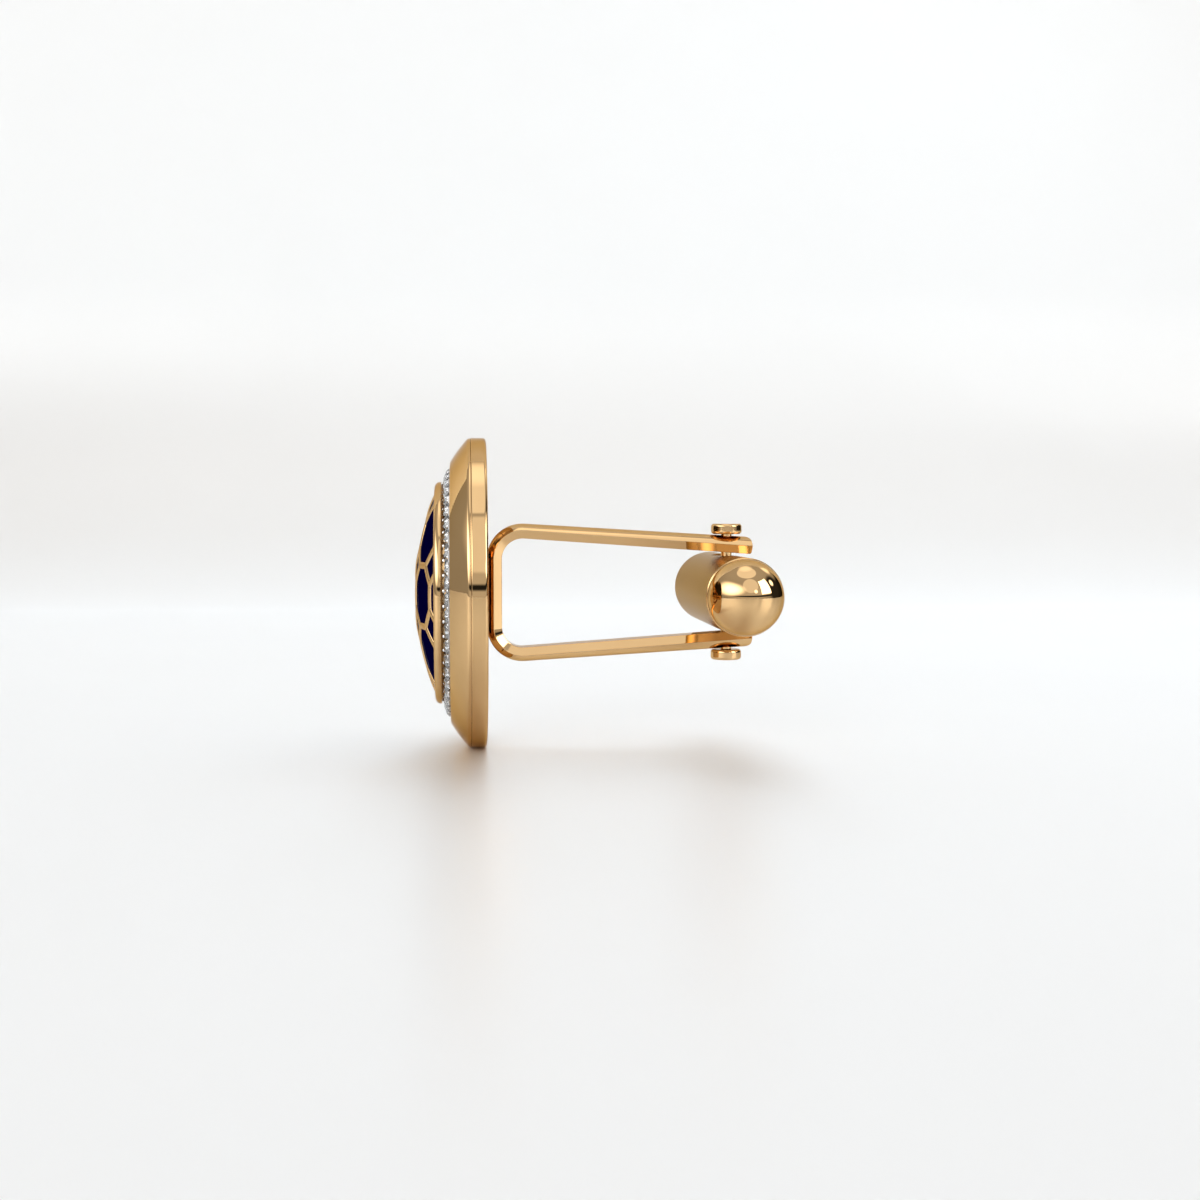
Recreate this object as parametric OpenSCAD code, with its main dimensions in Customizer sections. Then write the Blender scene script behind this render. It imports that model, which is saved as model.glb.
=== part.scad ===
// Cufflink with a domed enamel face, a ring of brilliants and a swivelling toggle.
// The post runs along +X from the face to the toggle, and +Z is up.
// The origin is the centre of the rear face, which lies against the cuff.

/* [Back plate] */
// Diameter of the face across its edge
face_d = 20; // [18:0.5:26]
// Thickness of the back plate
plate_t = 1; // [0.8:0.1:1.6]
// Rounding of the back plate's rear edge
plate_edge_r = 0.2; // [0.1:0.05:0.35]
// Play between the post's bends and the edge of the sunk floor
relief_play = 0.7; // [0.4:0.05:1.2]
// Depth of the sunk floor
relief_depth = 0.08; // [0.04:0.02:0.2]
// Reach of the solder pad past the straight part of the foot
pad_reach = 0.2; // [0.05:0.05:0.4]
// Width of the solder pad
pad_w = 0.8; // [0.5:0.1:1.4]

/* [Front bezel] */
// Height of the bezel over the back plate
bezel_h = 1.3; // [1:0.1:2]
// Step between the plate's edge and the bezel's edge
bezel_step = 0.03; // [0.01:0.01:0.1]
// Height of the straight strip under the bevel
strip_h = 0.17; // [0.1:0.01:0.4]
// Width of the bevel, measured in the plane of the face
bevel_w = 1.52; // [1:0.02:2]
// Crown of the bevel over its chord
bevel_crown = 0.045; // [0.02:0.005:0.08]
// Width of the flat between the bevel and the stones
flat_w = 0.4; // [0.2:0.05:0.6]
// Height of the ledge that carries the stone ring, over the back plate
ledge_h = 0.75; // [0.5:0.05:0.9]

/* [Stones] */
// Diameter of a brilliant at its girdle
stone_d = 0.92; // [0.7:0.01:1.2]
// Space between two neighbouring brilliants
stone_space = 0.07; // [0.05:0.01:0.2]
// Height of the girdles' centres over the bezel's flat
stone_rise = 0.23; // [0.16:0.01:0.3]
// Outward tilt of the stones in degrees
stone_tilt = 20; // [12:1:24]
// Height of the crown over the girdle
crown_h = 0.12; // [0.08:0.01:0.16]
// Depth of the pavilion under the girdle
pavilion_h = 0.38; // [0.3:0.01:0.42]
// Diameter of the table facet
table_d = 0.53; // [0.4:0.01:0.6]
// Thickness of the girdle
girdle_t = 0.03; // [0.02:0.01:0.05]
// Play between a stone and its seat
stone_play = 0.01; // [0.005:0.005:0.02]
// Diameter of the grains that hold the stones
grain_d = 0.22; // [0.14:0.02:0.24]

/* [Dome] */
// Radius of the dome's sphere
dome_sphere_r = 16.27; // [13:0.01:22]
// Height of the lattice over the enamel
lattice_raise = 0.1; // [0.06:0.01:0.2]
// Thickness of the enamel
enamel_t = 0.25; // [0.15:0.01:0.3]
// Distance between the centres of two octagons, as a share of the dome's diameter
cell_pitch_share = 0.2923; // [0.2:0.0001:0.34]
// Width of the lattice's bars
bar_w = 0.44; // [0.3:0.02:0.6]
// Width of the lattice's outer band
band_w = 0.08; // [0.06:0.01:0.2]
// Wall of the pressed cup under the enamel
cup_wall = 0.6; // [0.4:0.05:0.8]

/* [Dome rim] */
// Step from the stones' slope up to the seat of the rim
land_step = 0.015; // [0.01:0.005:0.05]
// Reach of the rim over the stones' slope
rim_lap = 0.032; // [0.01:0.002:0.05]
// Width of the rim round the dome
rim_w = 0.67; // [0.6:0.01:0.7]
// Height of the rim
rim_h = 0.51; // [0.4:0.01:0.6]
// Rounding of the rim's outer edge
rim_round = 0.34; // [0.2:0.02:0.4]
// Depth of the skirt that seats the rim
rim_skirt_h = 0.08; // [0.04:0.02:0.1]
// Width of that skirt
rim_skirt_w = 0.42; // [0.3:0.02:0.5]

/* [Post] */
// Height of the U-shaped post over its bends
post_h = 8.96; // [8:0.02:11]
// Width of the bar that the post is bent from
post_w = 2.1; // [1.6:0.1:2.6]
// Thickness of that bar at the bends
post_t = 0.96; // [0.8:0.02:1.2]
// Height of the bar's domed outer side
post_crown = 0.43; // [0.3:0.01:0.5]
// Outer radius of the bends
bend_r = 2.3; // [1.8:0.1:2.8]
// Step to which the legs' lean is set, in degrees
lean_step = 0.1; // [0.05:0.05:0.5]
// Extra lean of a leg's inner side, which thickens it to the tip
leg_taper = 0.6; // [0.3:0.05:0.9]
// Clearance between a leg and the toggle's flat, at the pivot
leg_gap = 0.255; // [0.2:0.005:0.5]
// Reach of the legs' tips past the pivot's axis
tip_reach = 1.7; // [1.5:0.05:2.4]
// Rounding of the tips' outer corners
tip_outer_r = 0.5; // [0.2:0.05:0.6]
// Rounding of the tips' inner corners
tip_inner_r = 0.16; // [0.1:0.02:0.2]
// Gap between the rear face and the crown of the foot
foot_gap = 0.04; // [0.02:0.01:0.08]
// Depth of the flat filed on the foot
foot_flat = 0.06; // [0.03:0.01:0.1]

/* [Pivot] */
// Distance from the rear face to the pivot's axis
pivot_x = 15.73; // [14:0.01:20]
// Diameter of the pivot pin
pin_d = 0.7; // [0.6:0.02:0.8]
// Diameter of the pin's heads
head_d = 2; // [1.6:0.05:2.2]
// Height of a head
head_h = 0.68; // [0.5:0.02:0.8]
// Rounding of a head's outer edge
head_round = 0.18; // [0.1:0.02:0.24]
// Height of the neck between the post and a head
neck_h = 0.09; // [0.05:0.01:0.2]
// Depth of the bore in the lower head
rivet_depth = 0.45; // [0.3:0.05:0.46]

/* [Toggle] */
// Diameter of the toggle
toggle_d = 4.86; // [4.2:0.02:5.6]
// Length of the toggle's barrel
barrel_len = 14.6; // [12:0.2:18]
// Chamfer on the barrel's ends
barrel_chamfer = 0.07; // [0.04:0.01:0.12]
// Depth of the flats under the legs
land_depth = 0.1; // [0.08:0.01:0.14]
// Play between the legs' tips and the ends of those flats
land_play = 0.3; // [0.2:0.02:0.8]
// Step between the barrel and the end caps
cap_step = 0.07; // [0.04:0.01:0.12]
// Length of the straight part of an end cap
cap_straight = 0.12; // [0.08:0.02:0.3]
// Diameter of the spigot that fixes an end cap
spigot_d = 3; // [2.4:0.1:3.4]
// Length of that spigot
spigot_len = 1.5; // [1.2:0.1:2]

/* [Detent] */
// Diameter of the detent balls
ball_d = 1; // [0.8:0.02:1.04]
// Depth of the dimples in the pin
dimple_depth = 0.05; // [0.02:0.01:0.06]
// Wire of the detent springs
wire_d = 0.16; // [0.12:0.01:0.2]
// Number of turns of a detent spring
spring_turns = 9; // [6:1:12]

/* [Fits] */
// Running clearance of pin and balls in the barrel
run_gap = 0.03; // [0.02:0.005:0.06]
// Clearance of pieces that are pressed or cemented together
seat_gap = 0.005; // [0.002:0.001:0.01]

/* [Hidden] */
$fn = 72;

// Overrun of every cut past the face that it opens
cut = 0.2;
gold = [0.83, 0.64, 0.36];
bright_gold = [0.90, 0.72, 0.44];
navy = [0.02, 0.01, 0.22];
stone_white = [0.92, 0.95, 0.98];
steel = [0.62, 0.64, 0.67];

// Levels over the rear face, measured outwards along the face's axis
bezel_top = plate_t + bezel_h;
ledge_level = plate_t + ledge_h;
stone_level = bezel_top + stone_rise;

// Radii from the edge of the face to the stones
face_r = face_d / 2;
bezel_r = face_r - bezel_step;
bevel_inner_r = bezel_r - bevel_w;
seat_r = bevel_inner_r - flat_w;
ring_outer_r = seat_r - 2 * stone_play;

// The bevel's arc goes through both of its edges with the stated crown
bevel_run = bezel_r - bevel_inner_r;
bevel_rise = bezel_h - strip_h;
bevel_chord = sqrt(bevel_run * bevel_run + bevel_rise * bevel_rise);
bevel_arc_r = bevel_chord * bevel_chord / (8 * bevel_crown) + bevel_crown / 2;
bevel_mid = [(bezel_r + bevel_inner_r) / 2, plate_t + strip_h + bevel_rise / 2];
bevel_normal = [bevel_rise, bevel_run] / bevel_chord;
bevel_centre = bevel_mid - (bevel_arc_r - bevel_crown) * bevel_normal;

// The stones lie against the bezel, as many as fit, and their ring's slope follows their tilt
stone_r = stone_d / 2;
stone_ring_r = seat_r - stone_play - stone_r;
stone_count = floor(2 * PI * stone_ring_r / (stone_d + stone_space));
slope_outer = [ring_outer_r, stone_level - (ring_outer_r - stone_ring_r) * tan(stone_tilt)];
slope_inner_r = stone_ring_r - stone_r * cos(stone_tilt) - stone_play;
slope_inner = [slope_inner_r, stone_level + (stone_ring_r - slope_inner_r) * tan(stone_tilt)];

// The rim lies on the stone ring and laps over its slope, and the dome fills the rim
skirt_level = slope_inner[1] + land_step;
rim_back = skirt_level + rim_skirt_h;
rim_front = rim_back + rim_h;
rim_outer_r = slope_inner_r + rim_lap;
dome_r = rim_outer_r - rim_w;
sphere_level = rim_front - sqrt(dome_sphere_r * dome_sphere_r - dome_r * dome_r);
dome_h = sphere_level + dome_sphere_r;
enamel_sphere_r = dome_sphere_r - lattice_raise;
skin_inner_r = enamel_sphere_r - enamel_t;
cup_sphere_r = skin_inner_r - seat_gap;
hollow_sphere_r = cup_sphere_r - cup_wall;
cup_r = dome_r + rim_skirt_w / 5;
cup_bore_r = cup_r - cup_wall;
ring_inner_r = cup_r + seat_gap;
rim_inner_r = dome_r + seat_gap;
grain_r = grain_d / 2;
grain_ring_r = slope_inner_r + stone_play;
grain_level = skirt_level - grain_r / 3;

// Lattice of octagons and small squares
cell_pitch = 2 * dome_r * cell_pitch_share;
octagon_inradius = cell_pitch / 2 - bar_w / 2;
octagon_side = cell_pitch * tan(22.5);
square_inradius = octagon_side / 2 - bar_w / 2;
field_r = dome_r - band_w;
cell_reach = ceil(dome_r / cell_pitch);

// The post's bar in section
crown_r = (post_w * post_w / 4 + post_crown * post_crown) / (2 * post_crown);
pad_top = foot_gap + foot_flat;
bend_centre = [foot_gap + bend_r, post_h / 2 - bend_r];
relief_r = post_h / 2 + relief_play;
pad_len = 2 * (bend_centre[1] + pad_reach);

// Each leg leans as far as its inner side clears the toggle, to a step that a gauge can set
toggle_r = toggle_d / 2;
land_level = toggle_r - land_depth;
clear_point = [pivot_x - bend_centre[0], land_level + leg_gap - bend_centre[1]];
clear_turn = asin((bend_r - post_t) * cos(leg_taper) / norm(clear_point));
free_lean = clear_turn - atan2(clear_point[1], clear_point[0]) - leg_taper;
leg_lean = lean_step * floor(free_lean / lean_step);
post_reach = pivot_x + tip_reach;
leg_len = (post_reach - bend_centre[0] - (bend_r - post_t / 2) * sin(leg_lean)) / cos(leg_lean);
tip_t = post_t + leg_len * tan(leg_taper);
pivot_run = (pivot_x - bend_centre[0] - bend_r * sin(leg_lean)) / cos(leg_lean);
leg_top = bend_centre[1] + bend_r * cos(leg_lean) - pivot_run * sin(leg_lean);
head_level = leg_top + neck_h;
land_len = 2 * (norm([tip_reach, post_w / 2]) + land_play);

// Pin, balls and springs
pin_r = pin_d / 2;
ball_r = ball_d / 2;
ball_y = pin_r - dimple_depth + ball_r;
cap_r = toggle_r - cap_step;
spring_bore_r = ball_r + run_gap;
spring_r = spring_bore_r - run_gap - wire_d / 2;
spigot_r = spigot_d / 2;
pocket_len = spigot_len + run_gap;
spring_start = ball_y + sqrt((ball_r + wire_d / 2) * (ball_r + wire_d / 2) - spring_r * spring_r);
spring_end = barrel_len / 2 - spigot_len - wire_d / 2;
spring_rings = 10;
spring_sides = 6;

// Turns a shape that is drawn upwards so that it faces away from the cuff
module facing_out() {
    rotate([0, -90, 0])
        children();
}

// What a rounding of radius r removes from a convex corner at the origin
module corner_waste(r) {
    difference() {
        translate([-r, -r])
            square(r + cut);
        translate([-r, -r])
            circle(r = r);
        translate([-r - cut, -r - cut])
            square([r + cut, cut]);
    }
}

// Plain disc between two levels
module disc(r, low, high) {
    translate([0, 0, low])
        cylinder(r = r, h = high - low);
}

// Ball of the dome's centre, cut to a disc of radius r above a level
module dome_ball(sphere_r, r, low) {
    intersection() {
        translate([0, 0, sphere_level])
            sphere(r = sphere_r, $fn = 144);
        disc(r, low, dome_h + cut);
    }
}

// Skin of the dome from the cup to a sphere of the same centre
module dome_skin(outer_r, r) {
    difference() {
        dome_ball(outer_r, r, ledge_level);
        translate([0, 0, sphere_level])
            sphere(r = skin_inner_r, $fn = 144);
    }
}

// One octagonal cell of the lattice
module octagon_cell(i, j) {
    translate([i * cell_pitch, j * cell_pitch, ledge_level])
        rotate([0, 0, 22.5])
            cylinder(r = octagon_inradius / cos(22.5), h = dome_h, $fn = 8);
}

// One small square cell between four octagons
module square_cell(i, j) {
    translate([(i + 0.5) * cell_pitch, (j + 0.5) * cell_pitch, ledge_level])
        cylinder(r = square_inradius / cos(45), h = dome_h, $fn = 4);
}

// True where a cell's centre lies within reach of the enamelled field
function in_field(x, y, reach) = norm([x, y]) < field_r + reach;

// All octagons; whole ones are those nearest to the centre of the dome
module octagon_cells(whole, edge) {
    for (i = [-cell_reach:1:cell_reach], j = [-cell_reach:1:cell_reach])
        if (in_field(i * cell_pitch, j * cell_pitch, octagon_inradius))
            if ((whole && abs(i) + abs(j) < 2) || (edge && abs(i) + abs(j) > 1))
                octagon_cell(i, j);
}

// All small squares
module square_cells() {
    for (i = [-cell_reach:1:cell_reach - 1], j = [-cell_reach:1:cell_reach - 1])
        if (in_field((i + 0.5) * cell_pitch, (j + 0.5) * cell_pitch, 0))
            square_cell(i, j);
}

module back_plate() {
    color(gold)
        facing_out() {
            difference() {
                rotate_extrude()
                    difference() {
                        square([face_r, plate_t]);
                        translate([face_r, 0])
                            mirror([0, 1])
                                corner_waste(plate_edge_r);
                    }
                disc(relief_r, -cut, relief_depth);
            }
            translate([-pad_len / 2, -pad_w / 2, -pad_top])
                cube([pad_len, pad_w, pad_top + relief_depth]);
        }
}

module front_bezel() {
    color(bright_gold)
        facing_out()
            rotate_extrude()
                intersection() {
                    polygon([
                        [ring_inner_r, plate_t], [bezel_r, plate_t], [bezel_r, bezel_top],
                        [seat_r, bezel_top], [seat_r, ledge_level], [ring_inner_r, ledge_level]
                    ]);
                    translate(bevel_centre)
                        circle(r = bevel_arc_r, $fn = 360);
                }
}

// Places a child at stone i, with its axis along the stone's
module at_stone(i) {
    rotate([0, 0, i * 360 / stone_count])
        translate([stone_ring_r, 0, stone_level])
            rotate([0, stone_tilt, 0])
                children();
}

// Seat of one stone: a short wall for the girdle over a cone for the pavilion
module stone_seat() {
    wall_r = stone_r + stone_play;
    translate([0, 0, -girdle_t])
        cylinder(r = wall_r, h = crown_h + cut, $fn = 24);
    translate([0, 0, -girdle_t - pavilion_h])
        cylinder(r1 = stone_play, r2 = wall_r, h = pavilion_h, $fn = 24);
}

module stone_ring() {
    color(gold)
        facing_out() {
            difference() {
                rotate_extrude()
                    polygon([
                        [ring_inner_r, ledge_level], [ring_outer_r, ledge_level], slope_outer,
                        slope_inner, [slope_inner_r, skirt_level], [ring_inner_r, skirt_level]
                    ]);
                for (i = [0:stone_count - 1])
                    at_stone(i)
                        stone_seat();
            }
            for (i = [0:stone_count - 1])
                rotate([0, 0, (i + 0.5) * 360 / stone_count])
                    translate([grain_ring_r, 0, grain_level])
                        sphere(r = grain_r, $fn = 24);
        }
}

// Ring of eight points at radius r and height h
function octagon_ring(r, h) = [for (k = [0:7]) [r * cos(45 * k), r * sin(45 * k), h]];

// Single-cut stone with its girdle at the origin: table, crown, girdle and pavilion
module brilliant() {
    points = concat(
        octagon_ring(table_d / 2, crown_h),
        octagon_ring(stone_r, 0),
        octagon_ring(stone_r, -girdle_t),
        [[0, 0, -girdle_t - pavilion_h + stone_play]]
    );
    last = len(points) - 1;
    bands = [for (b = [0:1], k = [0:7])
        [8 * b + k, 8 * b + (k + 1) % 8, 8 * b + 8 + (k + 1) % 8, 8 * b + 8 + k]];
    tip = [for (k = [0:7]) [last - 8 + k, last - 8 + (k + 1) % 8, last]];
    polyhedron(points, concat([[7, 6, 5, 4, 3, 2, 1, 0]], bands, tip));
}

module brilliants() {
    color(stone_white)
        facing_out()
            for (i = [0:stone_count - 1])
                at_stone(i)
                    brilliant();
}

module dome_cup() {
    color(gold)
        facing_out()
            difference() {
                union() {
                    dome_ball(cup_sphere_r, dome_r, plate_t);
                    disc(cup_r, plate_t, skirt_level);
                }
                intersection() {
                    translate([0, 0, sphere_level])
                        sphere(r = hollow_sphere_r, $fn = 144);
                    disc(cup_bore_r, plate_t - cut, dome_h);
                }
            }
}

module dome_lattice() {
    color(bright_gold)
        facing_out()
            difference() {
                dome_skin(dome_sphere_r, dome_r);
                intersection() {
                    union() {
                        octagon_cells(whole = true, edge = true);
                        square_cells();
                    }
                    disc(field_r, ledge_level - cut, dome_h + cut);
                }
            }
}

module enamel_octagons() {
    color(navy)
        facing_out()
            intersection() {
                dome_skin(enamel_sphere_r, field_r - seat_gap);
                octagon_cells(whole = true, edge = false);
            }
}

module enamel_edge_cells() {
    color(navy)
        facing_out()
            intersection() {
                dome_skin(enamel_sphere_r, field_r - seat_gap);
                octagon_cells(whole = false, edge = true);
            }
}

module enamel_diamonds() {
    color(navy)
        facing_out()
            intersection() {
                dome_skin(enamel_sphere_r, field_r - seat_gap);
                square_cells();
            }
}

module dome_rim() {
    color(bright_gold)
        facing_out()
            rotate_extrude()
                union() {
                    difference() {
                        translate([rim_inner_r, rim_back])
                            square([rim_outer_r - rim_inner_r, rim_h]);
                        translate([rim_outer_r, rim_front])
                            corner_waste(rim_round);
                    }
                    translate([rim_inner_r, skirt_level])
                        square([rim_skirt_w, rim_skirt_h + rim_round / 2]);
                }
}

// The bar in section: flat inside, domed outside, its crown at bend_r
module bar_section(depth) {
    intersection() {
        translate([bend_r - crown_r, 0])
            circle(r = crown_r);
        translate([bend_r - depth, -post_w / 2])
            square([depth, post_w]);
    }
}

// Outline of a leg, seen along its width, with its crown at bend_r
module leg_outline() {
    difference() {
        polygon([
            [0, bend_r - post_t], [leg_len, bend_r - tip_t],
            [leg_len, bend_r], [0, bend_r]
        ]);
        translate([leg_len, bend_r])
            corner_waste(tip_outer_r);
        translate([leg_len, bend_r - tip_t])
            mirror([0, 1])
                corner_waste(tip_inner_r);
    }
}

// One bend and its leg, drawn in the post's own plane
module post_half() {
    translate([bend_centre[0], bend_centre[1], 0]) {
        rotate([0, 0, 90 - leg_lean])
            rotate_extrude(angle = 90 + leg_lean)
                bar_section(post_t);
        rotate([0, 0, -leg_lean])
            intersection() {
                rotate([90, 0, 90])
                    linear_extrude(leg_len)
                        bar_section(tip_t);
                translate([0, 0, -post_w])
                    linear_extrude(2 * post_w)
                        leg_outline();
            }
    }
}

module post_frame() {
    color(bright_gold)
        rotate([90, 0, 0])
            difference() {
                union() {
                    post_half();
                    mirror([0, 1, 0])
                        post_half();
                    translate([bend_centre[0], bend_centre[1], 0])
                        mirror([1, 0, 0])
                            rotate([90, 0, 0])
                                linear_extrude(2 * bend_centre[1])
                                    bar_section(post_t);
                }
                translate([pad_top - post_h, -post_h / 2, -post_w])
                    cube([post_h, post_h, 2 * post_w]);
                translate([pivot_x, post_h, 0])
                    rotate([90, 0, 0])
                        cylinder(r = pin_r + seat_gap, h = 2 * post_h);
            }
}

// Half of a head in section, its flat side at the origin
module head_profile() {
    difference() {
        square([head_d / 2, head_h]);
        translate([head_d / 2, head_h])
            corner_waste(head_round);
    }
}

module swivel_pin() {
    color(bright_gold)
        translate([pivot_x, 0, 0])
            difference() {
                rotate_extrude() {
                    translate([0, head_level])
                        head_profile();
                    translate([0, -head_level - rivet_depth])
                        square([pin_r, 2 * head_level + rivet_depth]);
                }
                for (side = [0:90:270])
                    rotate([0, 0, side])
                        translate([0, ball_y, 0])
                            sphere(r = ball_r + seat_gap, $fn = 48);
            }
}

module lower_pin_head() {
    color(bright_gold)
        translate([pivot_x, 0, -head_level])
            mirror([0, 0, 1])
                difference() {
                    rotate_extrude()
                        head_profile();
                    translate([0, 0, -cut])
                        cylinder(r = pin_r + seat_gap, h = rivet_depth + cut);
                }
}

// Turns a shape that is drawn upwards so that it lies along the toggle
module along_toggle() {
    translate([pivot_x, 0, 0])
        rotate([-90, 0, 0])
            children();
}

module toggle_barrel() {
    half = barrel_len / 2;
    pocket_r = spigot_r + seat_gap;
    color(gold)
        difference() {
            along_toggle()
                rotate_extrude()
                    polygon([
                        [spring_bore_r, -half + pocket_len], [pocket_r, -half + pocket_len],
                        [pocket_r, -half], [toggle_r - barrel_chamfer, -half],
                        [toggle_r, -half + barrel_chamfer], [toggle_r, half - barrel_chamfer],
                        [toggle_r - barrel_chamfer, half], [pocket_r, half],
                        [pocket_r, half - pocket_len], [spring_bore_r, half - pocket_len]
                    ]);
            translate([pivot_x, 0, -toggle_r - cut])
                cylinder(r = pin_r + run_gap, h = toggle_d + 2 * cut);
            for (side = [-1, 1])
                translate([pivot_x, 0, side * (land_level + toggle_r / 2)])
                    cube([toggle_d, land_len, toggle_r], center = true);
        }
}

// Domed end cap with its spigot, drawn upwards from the barrel's end
module toggle_cap() {
    rotate_extrude() {
        translate([0, -spigot_len])
            square([spigot_r, spigot_len + cap_straight]);
        square([cap_r, cap_straight]);
        intersection() {
            translate([0, cap_straight])
                circle(r = cap_r);
            translate([0, cap_straight])
                square([cap_r, cap_r]);
        }
    }
}

module toggle_cap_near() {
    color(bright_gold)
        mirror([0, 1, 0])
            along_toggle()
                translate([0, 0, barrel_len / 2])
                    toggle_cap();
}

module toggle_cap_far() {
    color(bright_gold)
        along_toggle()
            translate([0, 0, barrel_len / 2])
                toggle_cap();
}

module detent_ball() {
    translate([pivot_x, ball_y, 0])
        sphere(r = ball_r, $fn = 48);
}

module detent_ball_near() {
    color(steel)
        mirror([0, 1, 0])
            detent_ball();
}

module detent_ball_far() {
    color(steel)
        detent_ball();
}

// Point of the spring's wire: turn t of the helix, angle a round the wire
function spring_point(t, a) = [
    (spring_r + wire_d / 2 * cos(a)) * cos(360 * t),
    (spring_r + wire_d / 2 * cos(a)) * sin(360 * t),
    spring_start + (spring_end - spring_start) * t / spring_turns + wire_d / 2 * sin(a)
];

// Helical spring between a ball and an end cap, as one unbroken tube
module detent_spring() {
    rings = spring_turns * spring_rings;
    points = [for (n = [0:rings], s = [0:spring_sides - 1])
        spring_point(n / spring_rings, 360 * s / spring_sides)];
    walls = [for (n = [0:rings - 1], s = [0:spring_sides - 1])
        let (a = n * spring_sides + s, b = n * spring_sides + (s + 1) % spring_sides)
        each [[a, b, b + spring_sides], [a, b + spring_sides, a + spring_sides]]];
    first = [for (s = [0:spring_sides - 1]) spring_sides - 1 - s];
    last = [for (s = [0:spring_sides - 1]) rings * spring_sides + s];
    polyhedron(points, concat(walls, [first], [last]));
}

module detent_spring_near() {
    color(steel)
        translate([2 * pivot_x, 0, 0])
            rotate([0, 0, 180])
                along_toggle()
                    detent_spring();
}

module detent_spring_far() {
    color(steel)
        along_toggle()
            detent_spring();
}

back_plate();
front_bezel();
stone_ring();
brilliants();
dome_cup();
dome_lattice();
enamel_octagons();
enamel_edge_cells();
enamel_diamonds();
dome_rim();
post_frame();
swivel_pin();
lower_pin_head();
toggle_barrel();
toggle_cap_near();
toggle_cap_far();
detent_ball_near();
detent_ball_far();
detent_spring_near();
detent_spring_far();
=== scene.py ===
"""Dresses the cufflink: polished gold, navy enamel and brilliants, on a plain pale floor.

Sizes are in millimetres and become metres when a mesh is made. In the row frame +X runs along the
post, +Z is up and Y runs along the closed toggle. The rear of the face lies on X = 0, and heights
over it are measured towards -X.
"""

from __future__ import annotations

import logging
import math
from collections.abc import Sequence
from dataclasses import dataclass
from enum import Enum

import bmesh
import bpy
import numpy as np
from mathutils import Matrix, Vector
from numpy.typing import NDArray

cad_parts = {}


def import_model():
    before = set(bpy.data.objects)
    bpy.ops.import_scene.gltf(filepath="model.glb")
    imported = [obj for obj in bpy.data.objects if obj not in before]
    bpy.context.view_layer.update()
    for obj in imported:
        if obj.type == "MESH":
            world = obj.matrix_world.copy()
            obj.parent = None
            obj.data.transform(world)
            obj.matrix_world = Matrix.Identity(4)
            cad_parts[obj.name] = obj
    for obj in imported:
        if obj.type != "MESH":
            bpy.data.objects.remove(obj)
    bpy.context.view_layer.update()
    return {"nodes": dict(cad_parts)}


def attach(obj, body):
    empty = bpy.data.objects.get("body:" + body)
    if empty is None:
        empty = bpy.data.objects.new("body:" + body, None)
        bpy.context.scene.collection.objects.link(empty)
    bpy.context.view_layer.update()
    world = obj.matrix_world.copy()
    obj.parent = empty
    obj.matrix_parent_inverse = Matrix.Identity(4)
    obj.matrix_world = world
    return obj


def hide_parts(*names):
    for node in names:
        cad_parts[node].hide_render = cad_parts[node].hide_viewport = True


LOG = logging.getLogger("cufflink")

MM = 0.001
FULL_TURN = 2.0 * math.pi
MERGE_MM = 1e-5
CREASE = 30.0
TINY = 1e-9
NOISE_SPAN = (0.35, 0.65)
LARGE_ROUND = 360
SEED = 48

Points = NDArray[np.float64]
Spot = tuple[float, float]
Place = tuple[float, float, float]
Corner = tuple[float, float, float]
Colour = tuple[float, float, float]
Tree = bpy.types.NodeTree
Socket = bpy.types.NodeSocket
Value = Socket | float | Sequence[float]
Inputs = dict[str | int, Value]

WHITE: Colour = (1.0, 1.0, 1.0)
COOL: Colour = (0.743, 0.884, 1.0)


class Body(Enum):
    """The rigid bodies that pieces ride on."""

    FACE = "face"
    TOGGLE = "toggle"


class Slot(Enum):
    """The record's material slots."""

    GOLD = "gold"
    ENAMEL = "navy_enamel"
    BRILLIANT = "brilliant"
    SPRING_STEEL = "spring_steel"
    BALL_STEEL = "ball_steel"


# Surfaces


@dataclass
class Surface:
    """Points in millimetres, and faces as tuples of point numbers."""

    points: Points
    faces: list[tuple[int, ...]]

    def placed(self, placement: Matrix) -> Surface:
        """Moves and turns the points.

        Args:
            placement: 4 by 4 matrix from the surface's own frame to the row frame.

        Returns:
            The same faces over the new points.
        """
        turn = np.array(placement.to_3x3())
        shift = np.array(placement.translation)
        return Surface(self.points @ turn.T + shift, self.faces)


def joined(surfaces: Sequence[Surface]) -> Surface:
    """Puts several surfaces into one.

    Args:
        surfaces: The surfaces, in order.

    Returns:
        One surface with the points of all and the faces renumbered.
    """
    starts = np.cumsum([0] + [len(s.points) for s in surfaces])
    faces = [tuple(k + int(start) for k in f) for s, start in zip(surfaces, starts) for f in s.faces]
    return Surface(np.concatenate([s.points for s in surfaces]), faces)


def grid_surface(grid: Points, close_rows: bool = False, close_cols: bool = False) -> Surface:
    """Makes quads between the points of a grid.

    Vertex (i, j) of a grid with n columns has the number i * n + j, and each quad joins it to its
    neighbours in the next row and column.

    Args:
        grid: Array of shape (rows, columns, 3).
        close_rows: Whether the last row joins the first.
        close_cols: Whether the last column joins the first.

    Returns:
        The surface over the grid.
    """
    rows, cols = grid.shape[:2]
    i = np.arange(rows if close_rows else rows - 1)
    j = np.arange(cols if close_cols else cols - 1)
    a, b = (m.ravel() for m in np.meshgrid(i, j, indexing="ij"))
    c, d = (a + 1) % rows, (b + 1) % cols
    quads = np.stack([a * cols + b, a * cols + d, c * cols + d, c * cols + b], axis=1)
    return Surface(grid.reshape(-1, 3), [tuple(q) for q in quads.tolist()])


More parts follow.
